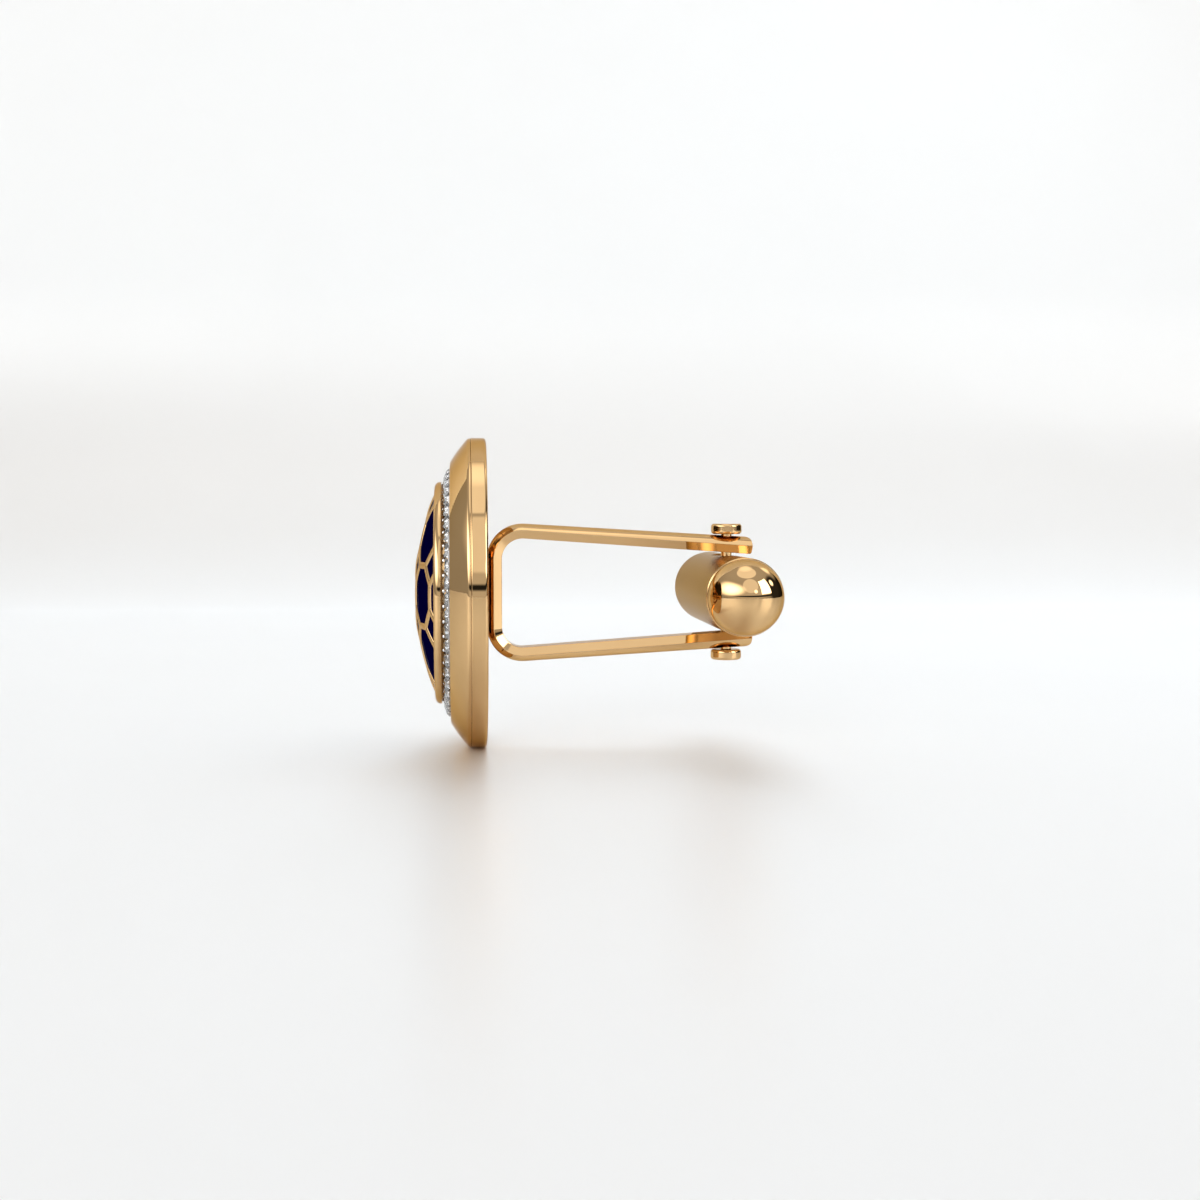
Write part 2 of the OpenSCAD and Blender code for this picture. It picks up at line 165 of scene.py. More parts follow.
def outline(
    corners: Sequence[Corner], closed: bool, support: float = 0.025, arc_steps: int = 8
) -> Points:
    """Walks along an outline and turns each corner into an arc of its own radius.

    With a half of the angle between two sides, an arc of radius r leaves them r / tan(a) from the
    corner, and its centre lies r / sin(a) away on their bisector. Each straight side also gets a
    point close to both of its ends, so that the shading of a flat stays flat.

    Args:
        corners: Corners as (radius, height, rounding).
        closed: Whether the last corner is joined to the first.
        support: Distance of the extra points from the ends of a side.
        arc_steps: Steps in each rounded corner.

    Returns:
        Points of shape (count, 2).
    """
    spots = np.array([c[:2] for c in corners], float)
    count = len(spots)
    arcs: list[Points] = []
    for k, (here, corner) in enumerate(zip(spots, corners)):
        rounding = corner[2]
        if rounding <= 0 or (not closed and k in (0, count - 1)):
            arcs.append(here[None])
            continue
        before = spots[k - 1] - here
        after = spots[(k + 1) % count] - here
        before, after = before / np.linalg.norm(before), after / np.linalg.norm(after)
        bisector = (before + after) / np.linalg.norm(before + after)
        half = math.acos(float(np.clip(before @ bisector, -1, 1)))
        centre = here + bisector * rounding / math.sin(half)
        first = here + before * rounding / math.tan(half) - centre
        last = here + after * rounding / math.tan(half) - centre
        sweep = math.acos(float(np.clip(first @ last / rounding**2, -1, 1)))
        t = np.linspace(0, 1, arc_steps + 1)[:, None]
        weights = np.sin((1 - t) * sweep), np.sin(t * sweep)
        arcs.append(centre + (weights[0] * first + weights[1] * last) / math.sin(sweep))
    run: list[Points] = []
    for k, arc in enumerate(arcs):
        run.append(arc)
        if not closed and k == count - 1:
            break
        start, end = arc[-1], arcs[(k + 1) % count][0]
        length = float(np.linalg.norm(end - start))
        if length > 4 * support:
            share = support / length
            run.append(start + (end - start) * np.array([share, 0.5, 1 - share])[:, None])
    return np.concatenate(run)


def around(radius: Points | float, height: Points | float, angle: Points) -> Points:
    """Lays points round the local z axis.

    A radius r, a height h and an angle t give the point (r cos t, r sin t, h).

    Args:
        radius: Radius of each point.
        height: Its height.
        angle: Its angle, in an array that fits the other two.

    Returns:
        Points of shape (..., 3).
    """
    spots = np.broadcast_arrays(radius * np.cos(angle), radius * np.sin(angle), height)
    return np.stack(spots, axis=-1)


def turned(profile: Points, closed: bool, segments: int = 256) -> Surface:
    """Turns an outline about the local z axis, through every angle of a full turn.

    Args:
        profile: Outline of shape (count, 2).
        closed: Whether the outline is a ring that doesn't reach the axis.
        segments: Steps round the axis.

    Returns:
        The turned surface in its own frame.
    """
    angle = np.linspace(0, FULL_TURN, segments, endpoint=False)
    grid = around(profile[:, 0, None], profile[:, 1, None], angle)
    return grid_surface(grid, close_rows=closed, close_cols=True)


def unit_ball(rings: int, segments: int) -> Surface:
    """Makes a ball of radius 1 from circles of latitude.

    Args:
        rings: Steps from pole to pole.
        segments: Steps round it.

    Returns:
        The ball's surface.
    """
    t = np.linspace(-math.pi / 2, math.pi / 2, rings + 1)
    return turned(np.stack([np.cos(t), np.sin(t)], axis=1), closed=False, segments=segments)


# Takes the face's own frame, whose z axis is a height over the rear face, to the row frame
FACING_OUT = Matrix(((0, 0, -1, 0), (0, 1, 0, 0), (1, 0, 0, 0), (0, 0, 0, 1)))


# Finishes


def fill(tree: Tree, node: bpy.types.Node, inputs: Inputs) -> None:
    """Sets each input of a node to its value, or links it where that is another node's output."""
    for key, value in inputs.items():
        if isinstance(value, Socket):
            tree.links.new(value, node.inputs[key])
        else:
            node.inputs[key].default_value = value


def add_node(tree: Tree, kind: str, inputs: Inputs, **settings: str) -> bpy.types.Node:
    """Adds a node to a material or a world.

    Args:
        tree: The nodes that it joins.
        kind: Type of the node, as it follows "ShaderNode".
        inputs: Values or outputs for its inputs, by name or number.
        **settings: The node's own settings, which decide what inputs it has.

    Returns:
        The node.
    """
    node = tree.nodes.new("ShaderNode" + kind)
    for name, setting in settings.items():
        setattr(node, name, setting)
    fill(tree, node, inputs)
    return node


def noise(tree: Tree, scale: float, detail: float, stretch: Sequence[float] = (1, 1, 1)) -> Socket:
    """Adds a noise texture that is fixed to the piece.

    Args:
        tree: The material's nodes.
        scale: Waves per millimetre.
        detail: Octaves of finer noise.
        stretch: Scale along each axis, to draw the pattern out.

    Returns:
        The noise, whose middle is 0.5.
    """
    place = add_node(tree, "TexCoord", {}).outputs["Object"]
    mapped = add_node(tree, "Mapping", {"Vector": place, "Scale": stretch}).outputs["Vector"]
    inputs = {"Vector": mapped, "Scale": scale / MM, "Detail": detail}
    return add_node(tree, "TexNoise", inputs).outputs["Fac"]


def ranged(tree: Tree, source: Socket, low: float, high: float) -> Socket:
    """Spreads the middle of a noise over a range of values.

    Args:
        tree: The material's nodes.
        source: The noise.
        low: Value where the noise is NOISE_SPAN's lower end.
        high: Value where the noise is its upper end.

    Returns:
        The new value.
    """
    start, end = NOISE_SPAN
    inputs = {"Value": source, "From Min": start, "From Max": end, "To Min": low, "To Max": high}
    return add_node(tree, "MapRange", inputs).outputs["Result"]


def clouded(tree: Tree, source: Socket, one: Colour, other: Colour) -> Socket:
    """Mixes two colours by a noise.

    Args:
        tree: The material's nodes.
        source: The noise.
        one: Colour where it is low.
        other: Colour where it is high.

    Returns:
        The mixed colour.
    """
    inputs = {"Factor": ranged(tree, source, 0.0, 1.0), "A": (*one, 1), "B": (*other, 1)}
    return add_node(tree, "Mix", inputs, data_type="RGBA").outputs["Result"]


def bumped(tree: Tree, height: Socket, depth: float) -> Socket:
    """Returns the normals of a surface that a height lifts by a depth in millimetres."""
    inputs = {"Height": height, "Distance": depth * MM}
    return add_node(tree, "Bump", inputs).outputs["Normal"]


@dataclass(frozen=True)
class Finish:
    """A finish: the name of its material and a record's slot, or no slot; the slot is not read here.
    """

    name: str
    slot: Slot | None

    def material(self) -> bpy.types.Material:
        """Makes the material, or returns the one made before."""
        if self.name in bpy.data.materials:
            return bpy.data.materials[self.name]
        material = bpy.data.materials.new(self.name)
        material.use_nodes = True
        tree = material.node_tree
        shader = next(n for n in tree.nodes if n.type == "BSDF_PRINCIPLED")
        fill(tree, shader, self.look(tree))
        return material

    def look(self, tree: Tree) -> Inputs:
        """Works out what the material's shader gets for each of its inputs."""
        raise NotImplementedError


@dataclass(frozen=True)
class MetalFinish(Finish):
    """A polished metal with faint clouds in its tone, fine wiping marks and a soft ripple.

    A pattern is given by its waves per millimetre and its octaves.
    """

    light: Colour
    deep: Colour
    roughness: tuple[float, float]
    edge: Colour = WHITE
    ripple: float = 0.00012
    marks: Sequence[float] = (1.0, 1.0, 1.0)
    clouds: tuple[float, float] = (0.45, 3.0)
    wiping: tuple[float, float] = (9.0, 4.0)

    def look(self, tree: Tree) -> Inputs:
        """Works out a metal's inputs."""
        wiping = noise(tree, *self.wiping, self.marks)
        return {
            "Metallic": 1.0,
            "Specular Tint": (*self.edge, 1),
            "Base Color": clouded(tree, noise(tree, *self.clouds), self.light, self.deep),
            "Roughness": ranged(tree, wiping, *self.roughness),
            "Normal": bumped(tree, wiping, self.ripple),
        }


@dataclass(frozen=True)
class EnamelFinish(Finish):
    """Vitreous enamel: deep coloured glass over bright metal, which shines in the glass's colour."""

    body: Colour = (0.0014, 0.0003, 0.058)
    speck: Colour = (0.0018, 0.0005, 0.067)
    edge: Colour = (0.0, 0.0, 0.02)
    shine: float = 0.6
    roughness: tuple[float, float] = (0.10, 0.16)
    grain: tuple[float, float] = (4.0, 5.0)
    waves: tuple[float, float] = (0.6, 1.0)
    wave_depth: float = 0.004

    def look(self, tree: Tree) -> Inputs:
        """Works out the enamel's inputs."""
        grain = noise(tree, *self.grain)
        return {
            "Specular IOR Level": 0.0,
            "Metallic": self.shine,
            "Specular Tint": (*self.edge, 1),
            "Base Color": clouded(tree, grain, self.body, self.speck),
            "Roughness": ranged(tree, grain, *self.roughness),
            "Normal": bumped(tree, noise(tree, *self.waves), self.wave_depth),
        }


@dataclass(frozen=True)
class StoneFinish(Finish):
    """Clear cut stone with a high refraction and barely visible traces of polishing."""

    refraction: float = 2.42
    clear: Colour = WHITE
    tinge: Colour = (0.93, 0.95, 0.98)
    roughness: tuple[float, float] = (0.0, 0.02)
    haze: tuple[float, float] = (6.0, 2.0)

    def look(self, tree: Tree) -> Inputs:
        """Works out the stone's inputs."""
        haze = noise(tree, *self.haze)
        return {
            "Transmission Weight": 1.0,
            "IOR": self.refraction,
            "Base Color": clouded(tree, haze, self.clear, self.tinge),
            "Roughness": ranged(tree, haze, *self.roughness),
        }


@dataclass(frozen=True)
class FloorFinish(Finish):
    """Pale satin sheet with faint unevenness."""

    pale: Colour = (0.885, 0.885, 0.885)
    duller: Colour = (0.875, 0.875, 0.875)
    roughness: tuple[float, float] = (0.32, 0.35)
    clouds: tuple[float, float] = (0.02, 2.0)

    def look(self, tree: Tree) -> Inputs:
        """Works out the floor's inputs."""
        clouds = noise(tree, *self.clouds)
        return {
            "Specular IOR Level": 1.0,
            "Base Color": clouded(tree, clouds, self.pale, self.duller),
            "Roughness": ranged(tree, clouds, *self.roughness),
        }


GOLD = MetalFinish(
    "polished_gold",
    Slot.GOLD,
    light=(0.708, 0.466, 0.228),
    deep=(0.690, 0.448, 0.216),
    roughness=(0.012, 0.03),
    edge=(0.62, 0.48, 0.33),
)
TURNED_GOLD = MetalFinish(
    "turned_gold",
    Slot.GOLD,
    light=(0.70, 0.46, 0.224),
    deep=(0.68, 0.442, 0.212),
    roughness=(0.19, 0.23),
    edge=(0.47, 0.36, 0.205),
    marks=(0.3, 1.0, 1.0),
)
WHITE_GOLD = MetalFinish(
    "rhodium_white_gold", Slot.GOLD, (0.92, 0.92, 0.92), (0.86, 0.86, 0.87), (0.08, 0.16)
)
# Grey metal, darker than the grains, for the seats under the stones.
SEAT_GOLD = MetalFinish(
    "grey_seat_gold", Slot.GOLD, (0.56, 0.55, 0.54), (0.46, 0.45, 0.44), (0.10, 0.2)
)
# Near-black brown gold for the collar: painted shade for the gap between the stones and the dome's
# rim.
PAINTED_SHADE_GOLD = MetalFinish(
    "painted_shade_gold", Slot.GOLD, (0.22, 0.11, 0.035), (0.10, 0.045, 0.015), (0.08, 0.2)
)
BALL_STEEL = MetalFinish(
    "ball_bearing_steel", Slot.BALL_STEEL, (0.62, 0.63, 0.65), (0.56, 0.57, 0.6), (0.08, 0.14)
)
SPRING_STEEL = MetalFinish(
    "drawn_spring_steel", Slot.SPRING_STEEL, (0.5, 0.51, 0.53), (0.42, 0.43, 0.46), (0.18, 0.3)
)
ENAMEL = EnamelFinish("navy_vitreous_enamel", Slot.ENAMEL)
STONE = StoneFinish("clear_brilliant", Slot.BRILLIANT)
PALE_FLOOR = FloorFinish("pale_satin_floor", None)


# Making pieces


def add_object(name: str, data: bpy.types.ID) -> bpy.types.Object:
    """Puts a mesh, a lamp or a camera into the scene as an object."""
    thing = bpy.data.objects.new(name, data)
    bpy.context.scene.collection.objects.link(thing)
    return thing


def add_mesh(name: str, surface: Surface) -> bpy.types.Object:
    """Puts a surface into the scene as a mesh in metres."""
    mesh = bpy.data.meshes.new(name)
    mesh.from_pydata((surface.points * MM).tolist(), [], surface.faces)
    return add_object(name, mesh)


def mend(mesh: bpy.types.Mesh) -> None:
    """Merges doubled points, which closes seams and poles, and then turns the faces outwards."""
    shell = bmesh.new()
    shell.from_mesh(mesh)
    bmesh.ops.remove_doubles(shell, verts=shell.verts, dist=MERGE_MM * MM)
    bmesh.ops.dissolve_degenerate(shell, edges=shell.edges, dist=MERGE_MM * MM)
    bmesh.ops.recalc_face_normals(shell, faces=shell.faces)
    shell.to_mesh(mesh)
    shell.free()


def make_piece(
    name: str,
    surface: Surface,
    finish: Finish,
    body: Body,
    nodes: Sequence[str],
    crease: float | None = CREASE,
) -> bpy.types.Object:
    """Makes a surface into a finished piece that stands for some CAD nodes.

    Args:
        name: Name of the piece.
        surface: Its surface in millimetres.
        finish: Its finish.
        body: The body that it rides on.
        nodes: The CAD nodes that it replaces.
        crease: Angle in degrees over which an edge stays sharp, or None for flat facets.

    Returns:
        The new object.
    """
    piece = add_mesh(name, surface)
    mesh = piece.data
    mend(mesh)
    mesh.polygons.foreach_set("use_smooth", np.full(len(mesh.polygons), crease is not None))
    if crease is not None:
        mesh.set_sharp_from_angle(angle=math.radians(crease))
    mesh.materials.append(finish.material())
    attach(piece, body.value)
    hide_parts(*nodes)
    LOG.info("%s: %d points, %d faces", name, len(mesh.vertices), len(mesh.polygons))
    return piece


def make_face_piece(
    name: str, surface: Surface, finish: Finish, node: str, crease: float | None = CREASE
) -> None:
    """Makes a piece of the face from a surface in the face's own frame."""
    make_piece(name, surface.placed(FACING_OUT), finish, Body.FACE, [node], crease)


def dress_node(frame: dict, node: str, finish: Finish) -> None:
    """Gives a CAD node that stays in view its finish."""
    slots = frame["nodes"][node].data.materials
    slots.clear()
    slots.append(finish.material())
    LOG.info("%s: dressed as it is", node)


# The face


@dataclass
class Plate:
    """Turned back plate with a rounded rear edge, a sunk floor and the solder pad in it."""

    radius: float = 10.0
    thickness: float = 1.0
    edge_round: float = 0.2
    floor_radius: float = 5.18
    floor_depth: float = 0.08
    pad_length: float = 4.76
    pad_width: float = 0.8
    pad_top: float = 0.1
    pad_power: float = 0.35
    pad_steps: tuple[int, int] = (64, 24)
    small_round: float = 0.02
    seam_round: float = 0.08

    def bent(self, value: Points) -> Points:
        """Raises a sine or cosine to the pad's small power, which squares a round shape."""
        return np.sign(value) * np.abs(value) ** self.pad_power

    def pad(self) -> Surface:
        """Makes the solder pad, a ball whose sines and cosines are bent to a block's.

        For a longitude u and a latitude v its half axes are multiplied by bent(cos v) bent(cos u),
        bent(cos v) bent(sin u) and bent(sin v).

        Returns:
            The pad's closed surface, with its height towards the post.
        """
        round_it, over_it = self.pad_steps
        u = np.linspace(-math.pi, math.pi, round_it, endpoint=False)[None]
        v = np.linspace(-math.pi / 2, math.pi / 2, over_it + 1)[:, None]
        depth = (self.pad_top + self.floor_depth + self.small_round) / 2
        grid = np.stack(
            [
                self.pad_length / 2 * self.bent(np.cos(v)) * self.bent(np.cos(u)),
                self.pad_width / 2 * self.bent(np.cos(v)) * self.bent(np.sin(u)),
                depth * self.bent(np.sin(v)) + depth - self.pad_top + 0 * u,
            ],
            axis=-1,
        )
        return grid_surface(grid, close_cols=True)

    def build(self) -> None:
        """Builds and dresses the plate."""
        fine = self.small_round
        profile = outline(
            [
                (0, self.floor_depth, 0),
                (self.floor_radius, self.floor_depth, fine),
                (self.floor_radius, 0, fine),
                (self.radius, 0, self.edge_round),
                (self.radius, self.thickness, self.seam_round),
                (0, self.thickness, 0),
            ],
            closed=False,
        )
        disc = turned(profile, closed=False, segments=LARGE_ROUND)
        make_face_piece("back_plate_polished", joined([disc, self.pad()]), GOLD, "back_plate")


@dataclass
class Bezel:
    """Front ring with a straight strip, a wide crowned bevel and a narrow flat at the stones.

    Its outer wall lies a step inside the plate's.
    """

    plate: Plate
    step: float = 0.03
    height: float = 1.3
    strip: float = 0.17
    bevel_width: float = 1.52
    crown: float = 0.045
    flat: float = 0.4
    ledge: float = 0.75
    bore: float = 6.59
    fine: float = 0.022
    seam_round: float = 0.02
    corner_round: float = 0.26
    crown_steps: int = 16

    @property
    def top(self) -> float:
        """Height of the flat over the rear face."""
        return self.plate.thickness + self.height

    @property
    def outer(self) -> float:
        """Radius of the strip."""
        return self.plate.radius - self.step

    @property
    def inner(self) -> float:
        """Radius of the wall round the stones."""
        return self.outer - self.bevel_width - self.flat

    def bevel(self) -> list[Corner]:
        """Works out the crowned bevel between its two edges.

        The points stand out of the chord by crown * (1 - (2 t - 1) ** 2), a flat parabola.

        Returns:
            Corners without rounding, from the strip inwards.
        """
        start = np.array([self.outer, self.plate.thickness + self.strip])
        end = np.array([self.outer - self.bevel_width, self.top])
        chord = end - start
        normal = np.array([chord[1], -chord[0]]) / np.linalg.norm(chord)
        t = np.linspace(0, 1, self.crown_steps + 1)[2:-1, None]
        spots = start + t * chord + self.crown * (1 - (2 * t - 1) ** 2) * normal
        return [(float(r), float(h), 0.0) for r, h in spots]

    def build(self) -> None:
        """Builds and dresses the bezel."""
        low, ledge = self.plate.thickness, self.plate.thickness + self.ledge
        corners = [
            (self.bore, low, self.fine),
            (self.outer, low, self.seam_round),
            (self.outer, low + self.strip, self.corner_round),
            *self.bevel(),
            (self.outer - self.bevel_width, self.top, self.fine),
            (self.inner, self.top, self.fine),
            (self.inner, ledge, 0),
            (self.bore, ledge, self.fine),
        ]
        ring = turned(outline(corners, closed=True), closed=True, segments=LARGE_ROUND)
        make_face_piece("front_bezel_polished", ring, GOLD, "front_bezel")


@dataclass
class StoneRing:
    """Sloped ring of seats with its grains, and the brilliants that lie in it."""

    bezel: Bezel
    count: int = 48
    stone_diameter: float = 0.92
    rise: float = 0.23
    tilt: float = 20.0
    crown: float = 0.12
    pavilion: float = 0.38
    table: float = 0.53
    girdle: float = 0.03
    star_share: float = 0.45
    lower_share: float = 0.24
    play: float = 0.01
    land_level: float = 2.706
    inner: float = 6.589
    groove_level: float = 2.54
    groove_inner: float = 6.96
    slope_inner: float = 7.235
    slope_outer: float = 7.965
    kerb_level: float = 2.27
    collar_inner: float = 6.93
    collar_level: float = 2.84
    scallop: float = 0.035
    inner_grain: tuple[float, float, float] = (0.11, 0.13, 0.11)
    inner_grain_level: float = 2.655
    outer_grain: tuple[float, float, float] = (0.06, 0.10, 0.07)
    steps_per_stone: int = 22
    slope_steps: int = 22

    @property
    def outer(self) -> float:
        """Outer radius of the ring."""
        return self.bezel.inner - 2 * self.play

    @property
    def angles(self) -> Points:
        """Steps round the ring, as many at each stone."""
        return np.linspace(0, FULL_TURN, self.count * self.steps_per_stone, endpoint=False)

    @property
    def centre_radius(self) -> float:
        """Radius of the circle through the stones' middles."""
        return self.bezel.inner - self.play - self.stone_diameter / 2

    @property
    def level(self) -> float:
        """Height of the stones' girdles over the rear face, at their middles."""
        return self.bezel.top + self.rise

    @property
    def stones_start(self) -> float:
        """Radius of the circle that the stones reach inwards."""
        return self.centre_radius - self.stone_diameter / 2 * math.cos(math.radians(self.tilt))

    def slope(self, radius: Points) -> Points:
        """Height of the slope at a radius: a cone tilted with the stones."""
        return self.level + (self.centre_radius - radius) * math.tan(math.radians(self.tilt))

    def seats(self) -> Surface:
        """Works out the ring with its seats.

        The slope is sunk where it comes under a stone. At a distance d from a stone's axis the
        seat is a cone that is (pavilion + girdle) deep at its middle, and outside it the slope stays.
        A groove parts the slope from the land under the dome's rim, and a kerb lies at the bezel.

        Returns:
            The ring's closed surface in its own frame.
        """
        angle, pitch = self.angles, FULL_TURN / self.count
        radius = np.linspace(self.slope_outer, self.slope_inner, self.slope_steps)
        off = (angle + pitch / 2) % pitch - pitch / 2
        tilt = math.radians(self.tilt)
        across = (radius[:, None] * np.cos(off) - self.centre_radius) / math.cos(tilt)
        along = radius[:, None] * np.sin(off)
        reach = self.stone_diameter / 2 + self.play
        inside = np.clip(1 - np.hypot(across, along) / reach, 0, 1)
        sunk = np.where(inside > 0, self.girdle + self.pavilion * inside, 0)
        top = self.slope(radius)[:, None] - sunk
        ledge = self.bezel.plate.thickness + self.bezel.ledge
        sides = [
            (self.slope_inner, self.groove_level),
            (self.groove_inner, self.groove_level),
            (self.groove_inner, self.land_level),
            (self.inner, self.land_level),
            (self.inner, ledge),
            (self.outer, ledge),
            (self.outer, self.kerb_level),
            (self.slope_outer, self.kerb_level),
        ]
        all_radius = np.concatenate([radius, [r for r, _ in sides]])[:, None]
        height = np.concatenate([top, [np.full(len(angle), h) for _, h in sides]])
        return grid_surface(around(all_radius, height, angle), close_rows=True, close_cols=True)

    def collar(self) -> Surface:
        """Works out the scalloped collar in the gap between the stones and the dome's rim, whose
        near-black gold is painted shade.

        Its outer wall swings about its radius by scallop * cos(2 * count * t), two waves a stone.

        Returns:
            The collar's closed surface in its own frame.
        """
        outer = self.groove_inner + self.scallop * (1 + np.cos(2 * self.count * self.angles))
        inner = np.full(len(outer), self.collar_inner)
        foot, top = self.groove_level, self.collar_level
        height = np.array([foot, (foot + top) / 2, top, top, foot])[:, None]
        grid = around(np.array([outer, outer, outer, inner, inner]), height, self.angles)
        return grid_surface(grid, close_rows=True, close_cols=True)

    def grains(self) -> Surface:
        """Makes the grains that hold the stones, between each two at the inner and outer edge.

        Each is a ball drawn out along its three axes: outwards, round the ring and upwards.

        Returns:
            All grains as one surface.
        """
        far = self.slope_outer - self.outer_grain[0]
        rows = (
            (self.stones_start, self.inner_grain_level, self.inner_grain, unit_ball(10, 16)),
            (far, float(self.slope(np.array(far))), self.outer_grain, unit_ball(8, 12)),
        )
        grains: list[Surface] = []
        for radius, level, half, grain in rows:
            out = Matrix.Translation((radius, 0, level)) @ Matrix.Diagonal((*half, 1))
            grains += [grain.placed(self.turn_to(k + 0.5) @ out) for k in range(self.count)]
        return joined(grains)

    def turn_to(self, stone: float) -> Matrix:
        """Returns the turn round the ring to a stone, or by a half to the gap after it."""
        return Matrix.Rotation(stone * FULL_TURN / self.count, 4, "Z")

    def brilliant(self) -> Surface:
        """Cuts one round brilliant with its girdle at the origin.

        The mains run straight from the table's corners to the girdle and from the girdle to the
        tip. The corners between two mains lie on both, so every kite is flat.

        Returns:
            The stone's closed surface of flat facets.
        """
        radius, table, base = self.stone_diameter / 2, self.table / 2, -self.girdle
        mains, halves = np.arange(8) * FULL_TURN / 8, np.arange(16) * FULL_TURN / 16
        between = mains + FULL_TURN / 16
        spread = math.cos(FULL_TURN / 16)
        star = (table + self.star_share * (radius - table)) / spread
        keel = radius * self.lower_share / spread
        points = np.concatenate(
            [
                around(table, self.crown, mains),
                around(star, self.crown * (1 - self.star_share), between),
                around(radius, 0.0, halves),
                around(radius, base, halves),
                around(keel, base - self.pavilion * (1 - self.lower_share), between),
                [[0, 0, base - self.pavilion]],
            ]
        )
        faces: list[tuple[int, ...]] = [tuple(range(8))]
        upper, under, low, tip = 16, 32, 48, 56
        for n in range(8):
            after, before = (n + 1) % 8, (n - 1) % 8
            g0, g1, g2 = 2 * n, 2 * n + 1, (2 * n + 2) % 16
            faces += [
                (n, 8 + before, upper + g0, 8 + n),
                (n, 8 + n, after),
                (8 + n, upper + g0, upper + g1),
                (8 + n, upper + g1, upper + g2),
                (upper + g0, under + g0, under + g1, upper + g1),
                (upper + g1, under + g1, under + g2, upper + g2),
                (low + n, under + g1, under + g0),
                (low + n, under + g2, under + g1),
                (tip, low + n, under + g0, low + before),
            ]
        return Surface(points, faces)

    def stones(self) -> Surface:
        """Lays a brilliant in every seat, each turned by its own seeded angle.

        Returns:
            All stones as one surface.
        """
        draw = np.random.default_rng(SEED)
        stone = self.brilliant()
        tilt = Matrix.Rotation(math.radians(self.tilt), 4, "Y")
        out = Matrix.Translation((self.centre_radius, 0, self.level))
        laid: list[Surface] = []
        for k in range(self.count):
            spin = Matrix.Rotation(float(draw.uniform(0, FULL_TURN / 8)), 4, "Z")
            laid.append(stone.placed(self.turn_to(k) @ out @ tilt @ spin))
        return joined(laid)

    def build(self) -> None:
        """Builds and dresses the ring and its stones."""
        make_face_piece("stone_ring_seats", self.seats(), SEAT_GOLD, "stone_ring")
        # The collar's dark gold is painted shade in the gap under the rim.
        make_face_piece("stone_ring_collar", self.collar(), PAINTED_SHADE_GOLD, "stone_ring")
        make_face_piece("stone_ring_grains", self.grains(), WHITE_GOLD, "stone_ring")
        make_face_piece("brilliants_full_cut", self.stones(), STONE, "brilliants", crease=None)


@dataclass
class Cell:
    """One cell of the mosaic: a polygon round its centre, cut off at the field's edge."""

    centre: Spot
    sides: int
    turn: float
    inradius: float
    field: float

    @property
    def normals(self) -> Points:
        """Unit normals of the sides."""
        a = self.turn + np.arange(self.sides) * FULL_TURN / self.sides
        return np.stack([np.cos(a), np.sin(a)], axis=1)

    @property
    def limits(self) -> Points:
        """Distance of each side from the dome's centre, along its normal."""
        return self.inradius + self.normals @ np.array(self.centre)

    def corners(self) -> Points:
        """Finds where sides meet each other or the field's edge.

        A side at the distance e meets the circle of radius f at e n plus or minus
        sqrt(f * f - e * e) along the side.

        Returns:
            The corners that lie in the cell and in the field.
        """
        n, e = self.normals, self.limits
        found: list[Points] = []
        for k in range(self.sides):
            after = (k + 1) % self.sides
            found.append(np.linalg.solve(n[[k, after]], e[[k, after]]))
            if abs(e[k]) < self.field:
                along = np.array([-n[k, 1], n[k, 0]]) * math.sqrt(self.field**2 - e[k] ** 2)
                found += [n[k] * e[k] + along, n[k] * e[k] - along]
        spots = np.array(found)
        inside = (spots @ n.T <= e + TINY).all(axis=1) & (np.hypot(*spots.T) <= self.field + TINY)
        return spots[inside]

    def fan(self, per_side: int, shares: Points) -> tuple[Points, Points]:
        """Spreads points over the cell from a point inside it.

        A ray from there leaves the cell at the nearest of its sides and the field's edge.

        Args:
            per_side: Steps between two corners.
            shares: Shares of the way from the inside point to the edge.

        Returns:
            Points of shape (directions, shares, 2) and their distances from the nearest edge.
        """
        corners = self.corners()
        heart = corners.mean(axis=0)
        away = corners - heart
        angles = np.unique(np.round(np.arctan2(away[:, 1], away[:, 0]) % FULL_TURN, 9))
        ends = np.append(angles[1:], angles[0] + FULL_TURN)
        t = np.arange(per_side) / per_side
        angles = (angles[:, None] + (ends - angles)[:, None] * t).ravel()
        ray = np.stack([np.cos(angles), np.sin(angles)], axis=1)
        pace = ray @ self.normals.T
        room = self.limits - self.normals @ heart
        with np.errstate(divide="ignore"):
            flat = np.where(pace > TINY, room / pace, np.inf).min(axis=1)
        inward = ray @ heart
        round_edge = -inward + np.sqrt(inward**2 - heart @ heart + self.field**2)
        reach = np.minimum(flat, round_edge)
        spots = heart + ray[:, None] * (reach[:, None] * shares)[..., None]
        to_sides = (self.limits - spots @ self.normals.T).min(axis=-1)
        to_field = self.field - np.linalg.norm(spots, axis=-1)
        return spots, np.maximum(np.minimum(to_sides, to_field), 0)


